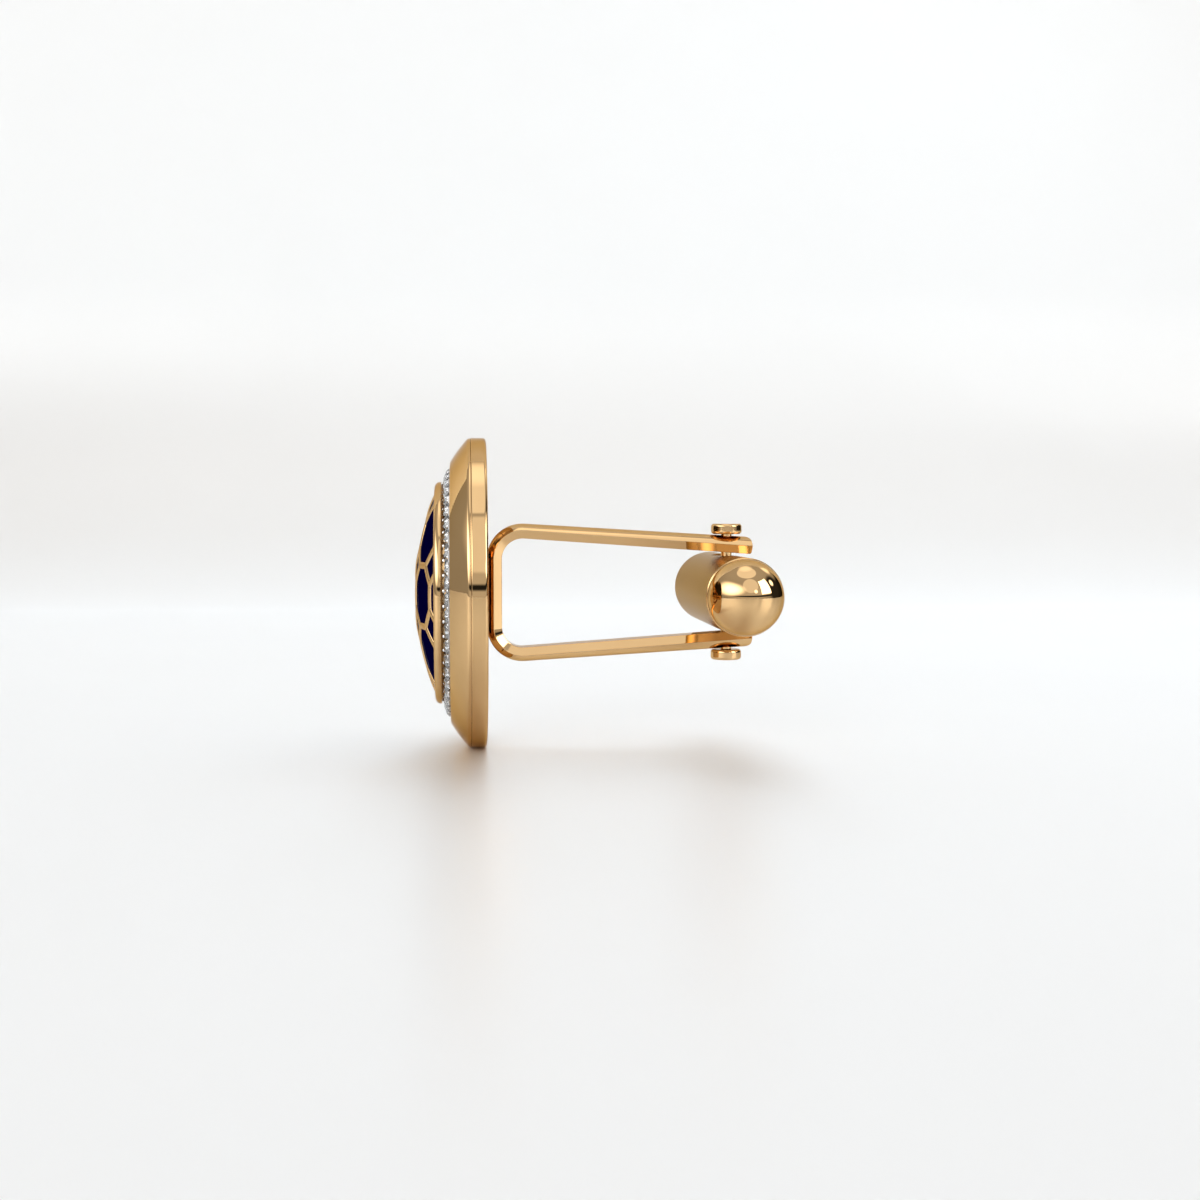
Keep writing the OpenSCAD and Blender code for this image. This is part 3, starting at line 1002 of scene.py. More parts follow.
@dataclass
class Dome:
    """Domed mosaic: raised bars between octagons and small squares, filled with enamel, in a rim."""

    height: float = 4.6507
    sphere: float = 16.27
    bar_rise: float = 0.1
    pitch: float = 3.79975
    bar: float = 0.44
    field: float = 6.42
    bar_lap: float = 0.03
    wall_lap: float = 0.012
    depth: float = 0.1
    meniscus: float = 0.02
    meniscus_reach: float = 0.05
    radius: float = 6.49974
    rim_outer: float = 7.16974
    rim_height: float = 0.51
    rim_round: float = 0.34
    lip_round: float = 0.045
    back_round: float = 0.03
    foot_round: float = 0.02
    relief: float = 0.07
    rim_bore: float = 6.505
    skirt_width: float = 0.42
    skirt_height: float = 0.08
    grid_reach: int = 2
    bar_steps: int = 14
    round_steps: int = 7
    pad_steps: int = 10
    pad_shares: tuple[float, ...] = (0, 0.3, 0.6, 0.8, 0.9, 0.95, 0.98, 1.0)
    rim_steps: int = 14
    rim_segments: int = 320

    @property
    def centre(self) -> float:
        """Height of the spheres' common centre over the rear face."""
        return self.height - self.sphere

    @property
    def octagon_side(self) -> float:
        """Length of an octagon's side, measured along the bars' middle lines."""
        return self.pitch * math.tan(FULL_TURN / 16)

    def lifted(self, spots: Points, over: Points | float) -> Points:
        """Lays flat spots on the dome, at a height over the enamel's sphere.

        A spot at distance d from the axis rises to sqrt(R * R - d * d) over the sphere's centre.

        Args:
            spots: Points of shape (..., 2).
            over: Height over the enamel at each of them.

        Returns:
            Points of shape (..., 3).
        """
        radius = self.sphere - self.bar_rise + over
        rise = np.sqrt(radius**2 - (spots**2).sum(axis=-1)) + self.centre
        return np.concatenate([spots, rise[..., None]], axis=-1)

    def octagons(self, reach: float) -> list[Spot]:
        """Returns the octagons' centres within a radius."""
        steps = [i * self.pitch for i in range(-self.grid_reach, self.grid_reach + 1)]
        return [(x, y) for x in steps for y in steps if math.hypot(x, y) < reach]

    def squares(self, reach: float) -> list[Spot]:
        """Returns the centres within a radius of the small squares, between four octagons each."""
        steps = [(i + 0.5) * self.pitch for i in range(-self.grid_reach, self.grid_reach)]
        return [(x, y) for x in steps for y in steps if math.hypot(x, y) < reach]

    def bar_profile(self) -> tuple[Points, Points]:
        """Works out half a bar in section, from its middle line to its foot.

        The top is half an ellipse: at the share sin a of the half width it stands cos a of the
        full height over the enamel. A wall leads from its foot down into the enamel.

        Returns:
            Shares of the half width, and heights over the enamel.
        """
        a = np.linspace(0, math.pi / 2, self.round_steps + 1)
        shares = np.append(np.sin(a), 1.0)
        heights = np.append(self.bar_rise * np.cos(a), -self.depth)
        return shares, heights

    def half_bar(self, centre: Points, inradius: float, normal: float, side: float) -> list[Surface]:
        """Makes the half of one bar that belongs to one cell.

        The half bar fills the strip between a side of the cell and the bar's middle line, and its
        ends are mitred along the lines from the cell's centre. Beyond the field it is cut off at
        the circle: a line from A to B meets it at A + s (B - A), where s solves the quadratic.

        Args:
            centre: Centre of the cell.
            inradius: Distance of the bar's middle line from it.
            normal: Direction of the bar from the centre.
            side: Length of the bar's middle line.

        Returns:
            The half bar's skin, and the end faces where the circle cuts it.
        """
        out = np.array([math.cos(normal), math.sin(normal)])
        along = np.array([-out[1], out[0]])
        limit = self.field + self.bar_lap
        shares, heights = self.bar_profile()
        shrink = 1 - shares * (self.bar / 2) / inradius
        first = centre + shrink[:, None] * (out * inradius - along * side / 2)
        last = centre + shrink[:, None] * (out * inradius + along * side / 2)
        inside = [np.linalg.norm(p, axis=1) <= limit for p in (first, last)]
        if not (inside[0][0] or inside[1][0]):
            return []
        way = last - first
        a, b = (way**2).sum(1), (first * way).sum(1)
        c = (first**2).sum(1) - limit**2
        root = np.sqrt(np.maximum(b * b - a * c, 0))
        low = np.clip(np.where(inside[0], 0, (-b - root) / a), 0, 1)
        high = np.clip(np.where(inside[1], 1, (-b + root) / a), 0, 1)
        f = np.linspace(0, 1, self.bar_steps + 1)[:, None]
        spots = first + way * (low + (high - low) * f)[..., None]
        far = np.linalg.norm(spots, axis=-1, keepdims=True)
        spots = np.where(far > limit, spots * limit / far, spots)
        top = self.lifted(spots, heights)
        floor = self.lifted(spots, -self.depth)
        skins = [grid_surface(top), grid_surface(floor)]
        for end, cut in ((0, not inside[0][0]), (-1, not inside[1][0])):
            if cut:
                skins.append(grid_surface(np.stack([top[end], floor[end]])))
        return skins

    def bars(self) -> Surface:
        """Makes the whole lattice from half bars.

        Returns:
            One closed surface, once its doubled points are merged.
        """
        skins: list[Surface] = []
        side = self.octagon_side
        for spot in self.octagons(math.inf):
            for k in range(8):
                skins += self.half_bar(np.array(spot), self.pitch / 2, k * FULL_TURN / 8, side)
        for spot in self.squares(math.inf):
            for k in range(4):
                skins += self.half_bar(np.array(spot), side / 2, (k + 0.5) * FULL_TURN / 4, side)
        return joined(skins)

    def pad(self, cell: Cell) -> Surface:
        """Fills a cell with enamel that creeps up its walls a little.

        At a distance d from the wall the enamel stands meniscus * exp(-d / meniscus_reach) high.

        Args:
            cell: The cell.

        Returns:
            The pad's closed surface.
        """
        spots, depth = cell.fan(self.pad_steps, np.array(self.pad_shares))
        top = self.lifted(spots, self.meniscus * np.exp(-depth / self.meniscus_reach))
        floor = self.lifted(spots[:, ::-1], -self.depth)
        return grid_surface(np.concatenate([top, floor], axis=1), close_rows=True)

    def rim(self) -> Surface:
        """Turns the plain rounded rim.

        Returns:
            The rim's closed surface.
        """
        front = self.centre + math.sqrt(self.sphere**2 - self.radius**2)
        back = front - self.rim_height
        ease, low = back + self.relief, back - self.skirt_height
        skirt = self.rim_bore + self.skirt_width
        corners = [
            (self.field, back, self.foot_round),
            (self.field, front, self.lip_round),
            (self.rim_outer, front, self.rim_round),
            (self.rim_outer, ease, self.back_round),
            (skirt, ease, 0.0),
            (skirt, low, 0.0),
            (self.rim_bore, low, 0.0),
            (self.rim_bore, back, 0.0),
        ]
        profile = outline(corners, closed=True, arc_steps=self.rim_steps)
        return turned(profile, closed=True, segments=self.rim_segments)

    def enamel(self) -> dict[str, list[Surface]]:
        """Fills the cells: whole octagons, the octagons cut by the rim, and the small squares.

        Returns:
            The pads for each CAD node of enamel.
        """
        octagon = self.pitch / 2 - self.bar / 2
        square = self.octagon_side / 2 - self.bar / 2
        edge = self.field + self.wall_lap
        pads: dict[str, list[Surface]] = {
            "enamel_octagons": [],
            "enamel_edge_cells": [],
            "enamel_diamonds": [],
        }
        for spot in self.octagons(self.field + octagon):
            whole = abs(spot[0]) + abs(spot[1]) < 1.5 * self.pitch
            node = "enamel_octagons" if whole else "enamel_edge_cells"
            pads[node].append(self.pad(Cell(spot, 8, 0.0, octagon + self.wall_lap, edge)))
        for spot in self.squares(self.field):
            cell = Cell(spot, 4, FULL_TURN / 8, square + self.wall_lap, edge)
            pads["enamel_diamonds"].append(self.pad(cell))
        return pads

    def build(self) -> None:
        """Builds and dresses the lattice, the enamel and the rim."""
        make_face_piece("dome_lattice_bars", self.bars(), GOLD, "dome_lattice")
        make_face_piece("dome_rim_rounded", self.rim(), GOLD, "dome_rim")
        for node, pads in self.enamel().items():
            make_face_piece(node + "_fired", joined(pads), ENAMEL, node)


# The post and its pivot


@dataclass
class Post:
    """U-shaped bar, domed outside and flat inside, whose legs lean towards each other."""

    height: float = 8.96
    width: float = 2.1
    thickness: float = 0.96
    side: float = 0.54
    slant: float = 25.0
    bend: float = 2.3
    lean: float = 3.4
    taper: float = 0.6
    reach: float = 17.31
    foot_gap: float = 0.04
    foot_flat: float = 0.06
    tip_outer: float = 0.42
    tip_inner: float = 0.16
    edge: float = 0.04
    pivot: float = 15.73
    edge_steps: int = 5
    crest_steps: int = 24
    foot_steps: int = 12
    bend_steps: int = 48
    leg_steps: int = 60
    tip_steps: tuple[int, int] = (15, 9)

    @property
    def lean_angle(self) -> float:
        """Lean of a leg in radians."""
        return math.radians(self.lean)

    @property
    def bend_centre(self) -> Points:
        """Centre of the upper bend as (x, z)."""
        return np.array([self.foot_gap + self.bend, self.height / 2 - self.bend])

    @property
    def leg_direction(self) -> Points:
        """Direction of the upper leg as (x, z)."""
        return np.array([math.cos(self.lean_angle), -math.sin(self.lean_angle)])

    @property
    def leg_normal(self) -> Points:
        """Outward normal of the upper leg as (x, z)."""
        return np.array([math.sin(self.lean_angle), math.cos(self.lean_angle)])

    @property
    def leg_length(self) -> float:
        """Length of a leg from its bend to its tip."""
        middle = self.bend_centre + (self.bend - self.thickness / 2) * self.leg_normal
        return float(self.reach - middle[0]) / math.cos(self.lean_angle)

    @property
    def crest_at_pivot(self) -> float:
        """Height of a leg's crest over the middle plane, where the pin passes it."""
        start = self.bend_centre + self.bend * self.leg_normal
        return float(start[1] - (self.pivot - start[0]) * math.tan(self.lean_angle))

    def section(self, thickness: float) -> Points:
        """Works out the bar in section, as (depth under the crest, place across the width).

        Of the thickness, the two slanted sides take a fixed part and the domed outer side takes
        the rest, the crown c. The dome is an arc of radius (w * w / 4 + c * c) / (2 c) for a
        width w. The sides draw in by side * tan(slant) towards the flat inner side.

        Args:
            thickness: Thickness of the bar at this place.

        Returns:
            The closed section, with depths as negative numbers.
        """
        half, crown = self.width / 2, thickness - self.side
        inner = half - self.side * math.tan(math.radians(self.slant))
        radius = (half * half + crown**2) / (2 * crown)
        across = np.linspace(half, -half, self.crest_steps + 1)[1:-1]
        arc = np.sqrt(radius**2 - across**2) - radius
        corners = [
            (-thickness, -inner, self.edge),
            (-thickness, inner, self.edge),
            (-crown, half, self.edge),
            *((float(n), float(b), 0.0) for n, b in zip(arc, across)),
            (-crown, -half, self.edge),
        ]
        return outline(corners, closed=True, support=self.edge, arc_steps=self.edge_steps)

    def stations(self) -> tuple[Points, Points, Points]:
        """Walks along the crest of the upper half, from the foot's middle to the tip.

        Returns:
            Crest points (x, z), their outward normals, and the way along the leg (0 before it).
        """
        centre = self.bend_centre
        foot_z = np.linspace(0, centre[1], self.foot_steps, endpoint=False)
        foot = np.stack([np.full(self.foot_steps, self.foot_gap), foot_z], axis=1)
        a = np.linspace(0, math.pi / 2 + self.lean_angle, self.bend_steps, endpoint=False)
        bend_normals = np.stack([-np.cos(a), np.sin(a)], axis=1)
        ways = [np.linspace(0, self.leg_length - self.tip_outer, self.leg_steps, endpoint=False)]
        for rounding, steps in zip((self.tip_outer, self.tip_inner), self.tip_steps):
            quarter = np.linspace(0, math.pi / 2, steps + 1)
            ways.append(self.leg_length - rounding * np.cos(quarter))
        way = np.unique(np.concatenate(ways))
        leg = centre + self.bend * self.leg_normal + way[:, None] * self.leg_direction
        crest = np.concatenate([foot, centre + self.bend * bend_normals, leg])
        foot_normals = np.tile([-1.0, 0.0], (self.foot_steps, 1))
        leg_normals = np.tile(self.leg_normal, (len(way), 1))
        normals = np.concatenate([foot_normals, bend_normals, leg_normals])
        return crest, normals, np.concatenate([np.zeros(self.foot_steps + self.bend_steps), way])

    def drop(self, way: Points, radius: float) -> Points:
        """How far a tip's quarter circle of some radius falls away, at ways along the leg.

        Past the circle's start s at the way w that is radius - sqrt(radius ** 2 - (w - s) ** 2).

        Args:
            way: Ways along the leg.
            radius: Radius of the quarter circle.

        Returns:
            The fall at each way, which is 0 before the circle starts.
        """
        past = np.clip(way - (self.leg_length - radius), 0, radius)
        return radius - np.sqrt(np.maximum(radius**2 - past**2, 0))

    def half(self) -> Points:
        """Carries the section along the upper half of the post.

        On the leg the inner side moves away from the crest by way * tan(taper), and near the tip
        both sides are limited by quarter circles. The foot is flat where it meets the solder.

        Returns:
            Grid of shape (stations, section points, 3).
        """
        crest, normals, way = self.stations()
        inner = self.thickness + way * math.tan(math.radians(self.taper))
        sections = np.array([self.section(float(t)) for t in inner])
        rows, across = sections[..., 0], sections[..., 1]
        deepest = self.drop(way, self.tip_inner) - inner
        depths = np.clip(rows, deepest[:, None], -self.drop(way, self.tip_outer)[:, None])
        spots = crest[:, None] + depths[..., None] * normals[:, None]
        x = np.maximum(spots[..., 0], self.foot_flat)
        return np.stack([x, across, spots[..., 1]], axis=-1)

    def build(self) -> None:
        """Builds and dresses the post."""
        upper = self.half()
        lower = upper[:0:-1] * np.array([1, 1, -1])
        grid = np.concatenate([lower, upper])
        skin = grid_surface(grid, close_cols=True)
        cols = grid.shape[1]
        last = (grid.shape[0] - 1) * cols
        ends = [tuple(range(cols)), tuple(range(last, last + cols))]
        surface = Surface(skin.points, skin.faces + ends)
        make_piece("post_frame_polished", surface, GOLD, Body.FACE, ["post_frame"])


@dataclass
class Pivot:
    """Pin with its upper head, and the lower head that is riveted on it."""

    post: Post
    radius: float = 0.35
    head_radius: float = 1.0
    head_height: float = 0.68
    head_round: float = 0.19
    under_round: float = 0.2
    neck: float = 0.09
    rivet: float = 0.45
    bore: float = 0.355
    pin_round: float = 0.02
    tip_round: float = 0.03
    socket_round: float = 0.01
    segments: int = 96

    def lathed(self, corners: Sequence[Corner], place: Matrix) -> Surface:
        """Turns a small part from its outline and puts it into its place."""
        profile = outline(corners, closed=False)
        return turned(profile, closed=False, segments=self.segments).placed(place)

    def build(self) -> None:
        """Builds and dresses the pin and the lower head."""
        level = self.post.crest_at_pivot + self.neck
        top = level + self.head_height
        tip, floor = -level - self.rivet, level + self.rivet
        on_axis = Matrix.Translation((self.post.pivot, 0, 0))
        upside_down = on_axis @ Matrix.Rotation(math.pi, 4, "X")
        head = [
            (0, top, 0),
            (self.head_radius, top, self.head_round),
            (self.head_radius, level, self.under_round),
        ]
        pin = [(self.radius, level, self.pin_round), (self.radius, tip, self.tip_round), (0, tip, 0)]
        socket = [(self.bore, level, self.socket_round), (self.bore, floor, 0.0), (0, floor, 0)]
        surface = self.lathed([*head, *pin], on_axis)
        make_piece("swivel_pin_polished", surface, GOLD, Body.FACE, ["swivel_pin"])
        surface = self.lathed([*head, *socket], upside_down)
        make_piece("lower_pin_head_polished", surface, GOLD, Body.FACE, ["lower_pin_head"])


# The toggle


@dataclass
class Toggle:
    """Round bar across the post with flats under the legs and a domed cap on each end."""

    pivot: Pivot
    radius: float = 2.43
    length: float = 14.6
    chamfer: float = 0.07
    edge_round: float = 0.02
    land_depth: float = 0.1
    land_length: float = 4.596
    land_step: float = 0.001
    bore: float = 0.53
    pocket: float = 1.505
    pocket_depth: float = 1.53
    cap_step: float = 0.07
    cap_straight: float = 0.12
    cap_round: float = 0.025
    spigot: float = 1.5
    spigot_gap: float = 0.005
    spigot_round: float = 0.06
    cross_bore: float = 0.38
    drill_overrun: float = 0.5
    arc_steps: int = 79
    flat_steps: int = 24
    dome_steps: int = 48
    cap_segments: int = 160
    drill_segments: int = 64

    @property
    def land(self) -> float:
        """Height of the flats over the barrel's axis."""
        return self.radius - self.land_depth

    def barrel(self) -> Surface:
        """Turns the barrel with its bore, and planes its two flats.

        Between the ends of the flats, a point higher than the flats comes down to them.

        Returns:
            The barrel's closed surface, with its length along the local z axis.
        """
        end, edge = self.length / 2, self.land_length / 2
        half = [
            (self.bore, end - self.pocket_depth, 0.0),
            (self.pocket, end - self.pocket_depth, 0.0),
            (self.pocket, end, self.edge_round),
            (self.radius - self.chamfer, end, self.edge_round),
            (self.radius, end - self.chamfer, self.edge_round),
            (self.radius, edge + self.land_step, 0.0),
            (self.radius, edge, 0.0),
        ]
        corners = [(r, -h, rounding) for r, h, rounding in half] + half[::-1]
        profile = outline(corners, closed=True)
        brink = math.asin(self.land / self.radius)
        arc = np.linspace(-brink, brink, self.arc_steps + 1)
        flat = np.linspace(brink, math.pi - brink, self.flat_steps + 1)[1:-1]
        t = np.concatenate([arc, flat, arc + math.pi, flat + math.pi])
        grid = around(profile[:, 0, None], profile[:, 1, None], t)
        planed = np.abs(grid[..., 2]) <= edge + TINY
        grid[..., 1] = np.where(planed, np.clip(grid[..., 1], -self.land, self.land), grid[..., 1])
        return grid_surface(grid, close_rows=True, close_cols=True)

    def cap(self) -> Surface:
        """Turns an end cap: a spigot, a short straight part and a half ball.

        Returns:
            The cap's closed surface, growing along the local z axis from the barrel's end.
        """
        radius, neck = self.radius - self.cap_step, self.pocket - self.spigot_gap
        a = np.linspace(0, math.pi / 2, self.dome_steps + 1)[1:-1]
        dome = [(radius * math.cos(t), self.cap_straight + radius * math.sin(t), 0.0) for t in a]
        corners = [
            (0, -self.spigot, 0),
            (neck, -self.spigot, self.spigot_round),
            (neck, 0, 0),
            (radius, 0, self.cap_round),
            (radius, self.cap_straight, 0),
            *dome,
            (0, self.cap_straight + radius, 0),
        ]
        return turned(outline(corners, closed=False), closed=False, segments=self.cap_segments)

    def drill(self, piece: bpy.types.Object) -> None:
        """Drills the pin's hole through the barrel, and keeps the result as its mesh."""
        end = self.radius + self.drill_overrun
        rod = np.array([[0, -end], [self.cross_bore, -end], [self.cross_bore, end], [0, end]])
        place = Matrix.Translation((self.pivot.post.pivot, 0, 0))
        surface = turned(rod, closed=False, segments=self.drill_segments).placed(place)
        drill = add_mesh("drill", surface)
        mend(drill.data)
        modifier = piece.modifiers.new("cross_bore", "BOOLEAN")
        modifier.operation = "DIFFERENCE"
        modifier.solver = "EXACT"
        modifier.object = drill
        bpy.context.view_layer.update()
        graph = bpy.context.evaluated_depsgraph_get()
        drilled = bpy.data.meshes.new_from_object(piece.evaluated_get(graph))
        piece.modifiers.clear()
        piece.data = drilled
        drilled.set_sharp_from_angle(angle=math.radians(CREASE))
        bpy.data.objects.remove(drill)

    def build(self) -> None:
        """Builds and dresses the barrel and its caps."""
        across = Matrix.Rotation(-math.pi / 2, 4, "X")
        along = Matrix.Translation((self.pivot.post.pivot, 0, 0)) @ across
        surface = self.barrel().placed(along)
        barrel = make_piece(
            "toggle_barrel_turned", surface, TURNED_GOLD, Body.TOGGLE, ["toggle_barrel"]
        )
        self.drill(barrel)
        out = Matrix.Translation((0, 0, self.length / 2))
        for node, turn in (("toggle_cap_far", 0.0), ("toggle_cap_near", math.pi)):
            place = along @ Matrix.Rotation(turn, 4, "X") @ out
            make_piece(node + "_domed", self.cap().placed(place), GOLD, Body.TOGGLE, [node])


# The studio


@dataclass(frozen=True)
class Lamp:
    """A soft lamp that shines on the object, but that metal and stones don't mirror.

    The azimuth is 0 behind the object and 90 on its right. A lamp with a size is a rectangle at a
    distance, and one without is a far disc whose width is its softness in degrees.
    """

    name: str
    azimuth: float
    elevation: float
    strength: float
    softness: float = 0.0
    distance: float = 0.0
    size: tuple[float, float] | None = None
    tint: Colour = COOL

    def build(self, target: Vector) -> None:
        """Hangs the lamp.

        A rectangle of area A gives a radiance L with the power pi * L * A.

        Args:
            target: The point that it faces, in metres.
        """
        data = bpy.data.lights.new(self.name, "AREA" if self.size else "SUN")
        if self.size:
            data.shape = "RECTANGLE"
            data.size, data.size_y = (s * MM for s in self.size)
            data.energy = math.pi * self.strength * data.size * data.size_y
        else:
            data.angle = math.radians(self.softness)
            data.energy = self.strength
        data.color = self.tint
        lamp = add_object(self.name, data)
        a, e = math.radians(self.azimuth), math.radians(self.elevation)
        out = Vector((math.sin(a) * math.cos(e), math.cos(a) * math.cos(e), math.sin(e)))
        lamp.location = target + out * self.distance * MM
        lamp.rotation_euler = (-out).to_track_quat("-Z", "Y").to_euler()
        lamp.visible_glossy = False
        lamp.visible_camera = False


class PanelShape(Enum):
    """The shapes that a panel of the mirrored studio can have."""

    DISC = "disc"
    OVAL = "oval"
    BOX = "box"


@dataclass(frozen=True)
class Panel:
    """A lamp, window or dark card that only mirrors and stones show, at a place in the sky.

    Angles are in degrees. The bearing is 0 behind the camera and grows towards the right, and the
    reach is half the panel's width and half its height.
    """

    shape: PanelShape
    bearing: float
    elevation: float
    reach: tuple[float, float]
    softness: float
    level: float

    @property
    def direction(self) -> Place:
        """Unit vector from the object to the panel."""
        b, e = math.radians(self.bearing), math.radians(self.elevation)
        return math.sin(b) * math.cos(e), -math.cos(b) * math.cos(e), math.sin(e)

    def cover(self, sky: Sky) -> Socket:
        """Works out where the panel covers the sky.

        A disc is covered where the cosine of the angle from its middle is over the cosine of its
        reach. For an oval or a box, the bearing and elevation from its middle are divided by the
        reach, and their length or the larger of them is compared with 1.

        Args:
            sky: The sky's nodes.

        Returns:
            The share covered, from 0 to 1.
        """
        if self.shape is PanelShape.DISC:
            edges = [self.reach[0] * (1 + side * self.softness) for side in (1, -1)]
            outer, inner = (math.cos(math.radians(edge)) for edge in edges)
            return sky.spread(sky.cosine(self.direction), outer, inner)
        across = sky.compute("SUBTRACT", sky.bearing, math.radians(self.bearing))
        across = sky.compute("WRAP", across, math.pi, -math.pi)
        across = sky.compute("MULTIPLY", across, 1 / math.radians(self.reach[0]))
        up = sky.compute("SUBTRACT", sky.elevation, math.radians(self.elevation))
        up = sky.compute("MULTIPLY", up, 1 / math.radians(self.reach[1]))
        if self.shape is PanelShape.OVAL:
            squares = [sky.compute("MULTIPLY", way, way) for way in (across, up)]
            far = sky.compute("SQRT", sky.compute("ADD", *squares))
        else:
            far = sky.compute("MAXIMUM", *(sky.compute("ABSOLUTE", way) for way in (across, up)))
        return sky.spread(far, 1 + self.softness, 1 - self.softness)


class Sky:
    """Nodes of the world that mirrors and stones show."""

    def __init__(self, tree: Tree) -> None:
        """Finds the bearing and the elevation of each direction.

        The bearing is the angle of (x, -y) and the elevation is the arc sine of z.

        Args:
            tree: The world's nodes.
        """
        self.tree = tree
        self.direction = add_node(tree, "TexCoord", {}).outputs["Generated"]
        parts = add_node(tree, "SeparateXYZ", {"Vector": self.direction}).outputs
        back = self.compute("MULTIPLY", parts["Y"], -1.0)
        self.bearing = self.compute("ARCTAN2", parts["X"], back)
        self.elevation = self.compute("ARCSINE", parts["Z"])

    def compute(self, operation: str, *values: Socket | float) -> Socket:
        """Adds a calculation with up to three sockets or numbers."""
        inputs = dict(enumerate(values))
        return add_node(self.tree, "Math", inputs, operation=operation).outputs["Value"]

    def cosine(self, direction: Place) -> Socket:
        """Finds the cosine of the angle between each direction and a fixed one."""
        inputs = {0: self.direction, 1: direction}
        return add_node(self.tree, "VectorMath", inputs, operation="DOT_PRODUCT").outputs["Value"]

    def spread(self, value: Socket, zero: float, one: float) -> Socket:
        """Turns a value into a smooth share that is 0 at one end of a range and 1 at the other."""
        inputs = {"Value": value, "From Min": zero, "From Max": one}
        node = add_node(self.tree, "MapRange", inputs, interpolation_type="SMOOTHSTEP")
        return node.outputs["Result"]

    def background(self, colour: Colour, strength: Socket | float) -> Socket:
        """Adds a background of one colour."""
        inputs = {"Color": (*colour, 1), "Strength": strength}
        return add_node(self.tree, "Background", inputs).outputs["Background"]

    def level(self, stops: Sequence[tuple[float, float]], panels: Sequence[Panel]) -> Socket:
        """Works out how bright each direction is.

        The level follows the elevation, and each panel then mixes its own level in.

        Args:
            stops: Elevations in degrees and the levels there.
            panels: The panels, from the back to the front.

        Returns:
            The level.
        """
        level: Socket | float = stops[0][1]
        for (low, _), (high, value) in zip(stops, stops[1:]):
            share = self.spread(self.elevation, math.radians(low), math.radians(high))
            level = self.mixed(level, value, share)
        for panel in panels:
            level = self.mixed(level, panel.level, panel.cover(self))
        return level

    def mixed(self, one: Socket | float, other: float, share: Socket) -> Socket:
        """Mixes a level with another by a share."""
        fading = self.compute("SUBTRACT", 1.0, share)
        kept = self.compute("MULTIPLY", one, fading)
        return self.compute("ADD", kept, self.compute("MULTIPLY", other, share))


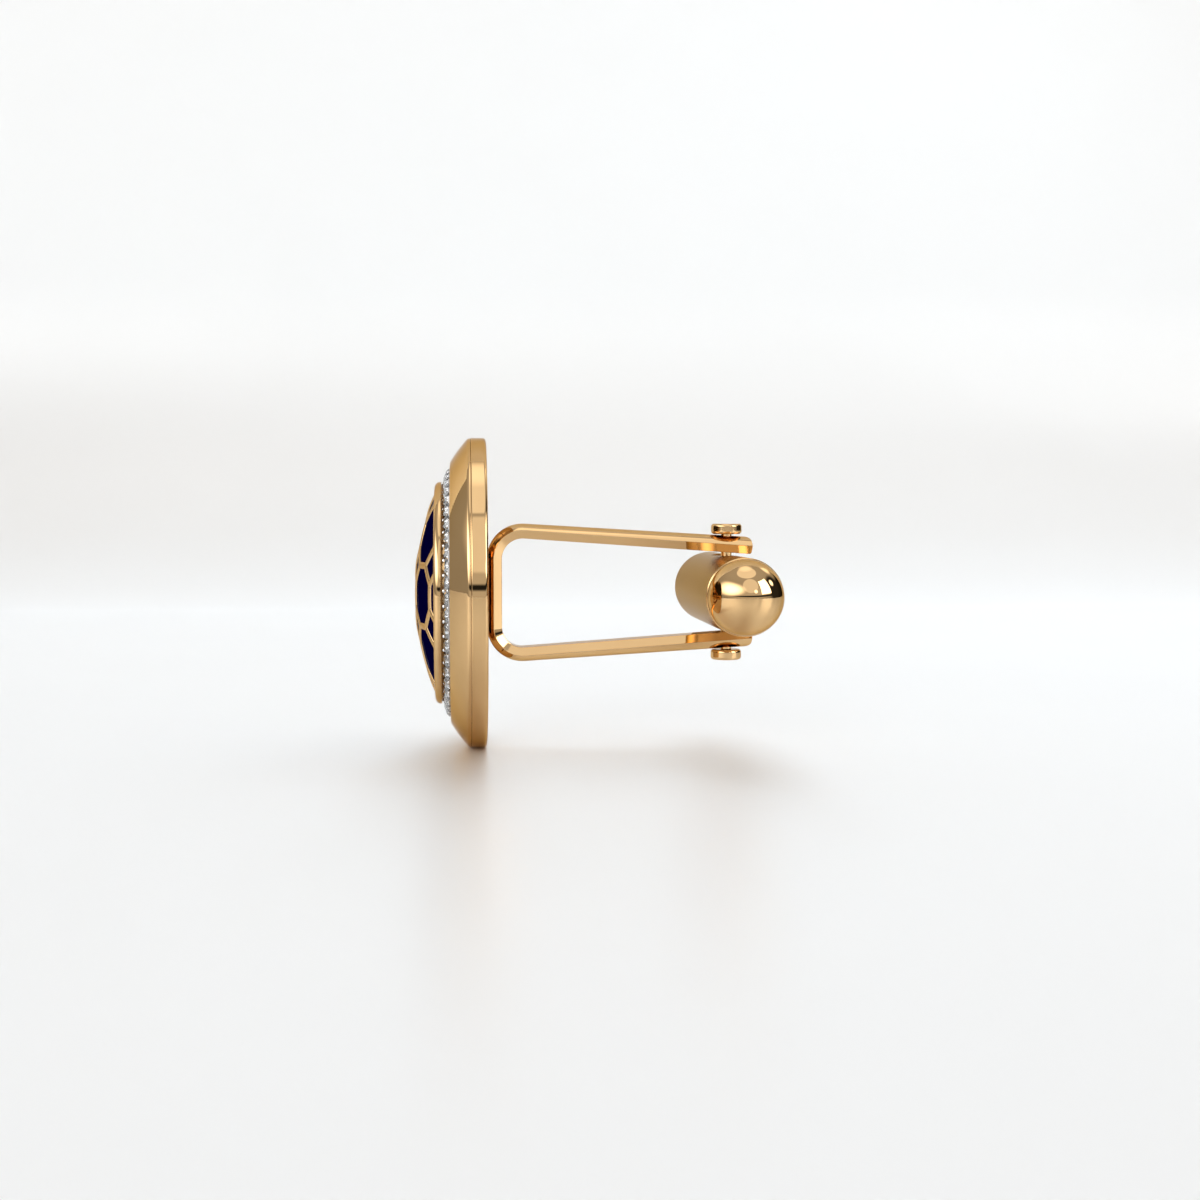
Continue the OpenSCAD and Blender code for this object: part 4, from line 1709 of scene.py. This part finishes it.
@dataclass
class Studio:
    """Pale floor and backdrop, soft lamps, a plain world and the camera."""

    floor_level: float = -10.0
    floor_half: float = 900.0
    wall_start: float = 150.0
    wall_radius: float = 60.0
    wall_height: float = 500.0
    wall_half: float = 240.0
    wall_steps: int = 32
    camera_place: Place = (-1.43, -104.0, 5.30)
    camera_yaw: float = 4.86
    camera_pitch: float = 3.19
    focal_pixels: float = 1600.0
    frame_pixels: float = 1200.0
    sensor: float = 36.0
    clipping: tuple[float, float] = (1.0, 10000.0)
    target: Place = (6.0, 0.0, 0.0)
    daylight: float = 0.36
    daylight_tint: Colour = (1.0, 0.70, 0.45)
    lamps: tuple[Lamp, ...] = (
        Lamp("rear_low_key", 4.0, 28.0, 0.96, softness=22.0),
        Lamp("rear_high_key", 6.0, 46.0, 0.96, softness=24.0),
        Lamp("overhead_key", 10.0, 66.0, 0.5, softness=28.0),
        Lamp("front_fill", 200.0, 12.0, 1.77, softness=60.0, tint=(0.82, 0.93, 1.0)),
        Lamp("right_softbox", 60.0, 52.0, 1.42, distance=235.0, size=(165.0, 145.0)),
    )
    sky: tuple[tuple[float, float], ...] = ((0.0, 0.39), (20.0, 0.42), (60.0, 0.55))
    panels: tuple[Panel, ...] = (
        Panel(PanelShape.OVAL, 0.0, 16.0, (58.0, 26.0), 0.4, 0.68),
        Panel(PanelShape.OVAL, 22.0, 6.4, (88.0, 2.3), 0.5, 0.02),
        Panel(PanelShape.BOX, 107.0, 8.0, (34.0, 18.0), 0.25, 0.02),
        Panel(PanelShape.DISC, 90.0, 22.0, (22.0, 22.0), 0.2, 0.03),
        Panel(PanelShape.DISC, 0.0, 83.5, (21.5, 21.5), 0.06, 1.25),
        Panel(PanelShape.DISC, 180.0, 80.0, (9.0, 9.0), 0.8, 1.7),
        Panel(PanelShape.DISC, 7.0, 38.0, (21.5, 21.5), 0.07, 1.1),
        Panel(PanelShape.DISC, 22.0, 20.0, (4.0, 4.0), 0.6, 3.5),
        Panel(PanelShape.DISC, 90.0, 30.0, (5.0, 5.0), 0.6, 3.5),
        Panel(PanelShape.OVAL, 129.0, 44.0, (13.0, 8.0), 0.5, 2.0),
        Panel(PanelShape.OVAL, -60.0, 25.0, (36.0, 14.0), 0.6, 4.0),
        Panel(PanelShape.BOX, 57.0, 29.0, (17.0, 18.0), 0.04, 4.5),
    )

    def camera(self) -> None:
        """Sets the camera at the photograph's viewing angle."""
        data = bpy.data.cameras.new("camera")
        data.sensor_width = self.sensor
        data.lens = self.focal_pixels / self.frame_pixels * self.sensor
        data.clip_start, data.clip_end = (way * MM for way in self.clipping)
        camera = add_object("camera", data)
        camera.location = Vector(self.camera_place) * MM
        level = math.pi / 2 - math.radians(self.camera_pitch)
        camera.rotation_euler = (level, 0.0, -math.radians(self.camera_yaw))
        bpy.context.scene.camera = camera

    def sweep(self) -> None:
        """Makes the floor, and a backdrop that rises from it in a quarter circle."""
        a = np.linspace(0, math.pi / 2, self.wall_steps + 1)
        y = self.wall_start + self.wall_radius * np.append(np.sin(a), 1.0)
        z = self.floor_level + np.append(self.wall_radius * (1 - np.cos(a)), self.wall_height)
        backdrop = self.sheet(np.array([-self.wall_half, self.wall_half]), y, z)
        reach = np.array([-self.floor_half, self.floor_half])
        floor = self.sheet(reach, reach, np.full(2, self.floor_level))
        for name, surface in (("pale_floor", floor), ("pale_backdrop", backdrop)):
            piece = add_mesh(name, surface)
            mesh = piece.data
            mesh.polygons.foreach_set("use_smooth", np.full(len(mesh.polygons), True))
            mesh.materials.append(PALE_FLOOR.material())
            piece.visible_shadow = False

    def sheet(self, x: Points, y: Points, z: Points) -> Surface:
        """Makes a sheet that is straight along x and follows (y, z)."""
        return grid_surface(np.stack(np.broadcast_arrays(x[None], y[:, None], z[:, None]), axis=-1))

    def world(self) -> None:
        """Sets a plain pale world, in which metal and stones see the studio's panels."""
        world = bpy.data.worlds.new("plain_studio")
        bpy.context.scene.world = world
        world.use_nodes = True
        tree = world.node_tree
        tree.nodes.clear()
        sky = Sky(tree)
        rays = add_node(tree, "LightPath", {}).outputs
        mirrored = sky.compute("MAXIMUM", rays["Is Glossy Ray"], rays["Is Transmission Ray"])
        panels = sky.background(WHITE, sky.level(self.sky, self.panels))
        plain = sky.background(WHITE, 1.0)
        shown = sky.background(self.daylight_tint, self.daylight)
        for share, other in ((mirrored, panels), (rays["Is Camera Ray"], plain)):
            shown = add_node(tree, "MixShader", {"Fac": share, 1: shown, 2: other}).outputs["Shader"]
        add_node(tree, "OutputWorld", {"Surface": shown})

    def build(self) -> None:
        """Builds the studio."""
        bpy.context.scene.view_settings.view_transform = "Standard"
        self.camera()
        self.sweep()
        self.world()
        for lamp in self.lamps:
            lamp.build(Vector(self.target) * MM)
        LOG.info("studio: %d lamps", len(self.lamps))


def main() -> None:
    """Loads the frame and builds every sub-assembly in order."""
    logging.basicConfig(level=logging.INFO, format="%(name)s: %(message)s")
    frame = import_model()
    Studio().build()
    plate = Plate()
    bezel = Bezel(plate)
    plate.build()
    bezel.build()
    StoneRing(bezel).build()
    Dome().build()
    dress_node(frame, "dome_cup", GOLD)
    post = Post()
    post.build()
    pivot = Pivot(post)
    pivot.build()
    Toggle(pivot).build()
    for side in ("near", "far"):
        dress_node(frame, "detent_ball_" + side, BALL_STEEL)
        dress_node(frame, "detent_spring_" + side, SPRING_STEEL)


if __name__ == "__main__":
    main()
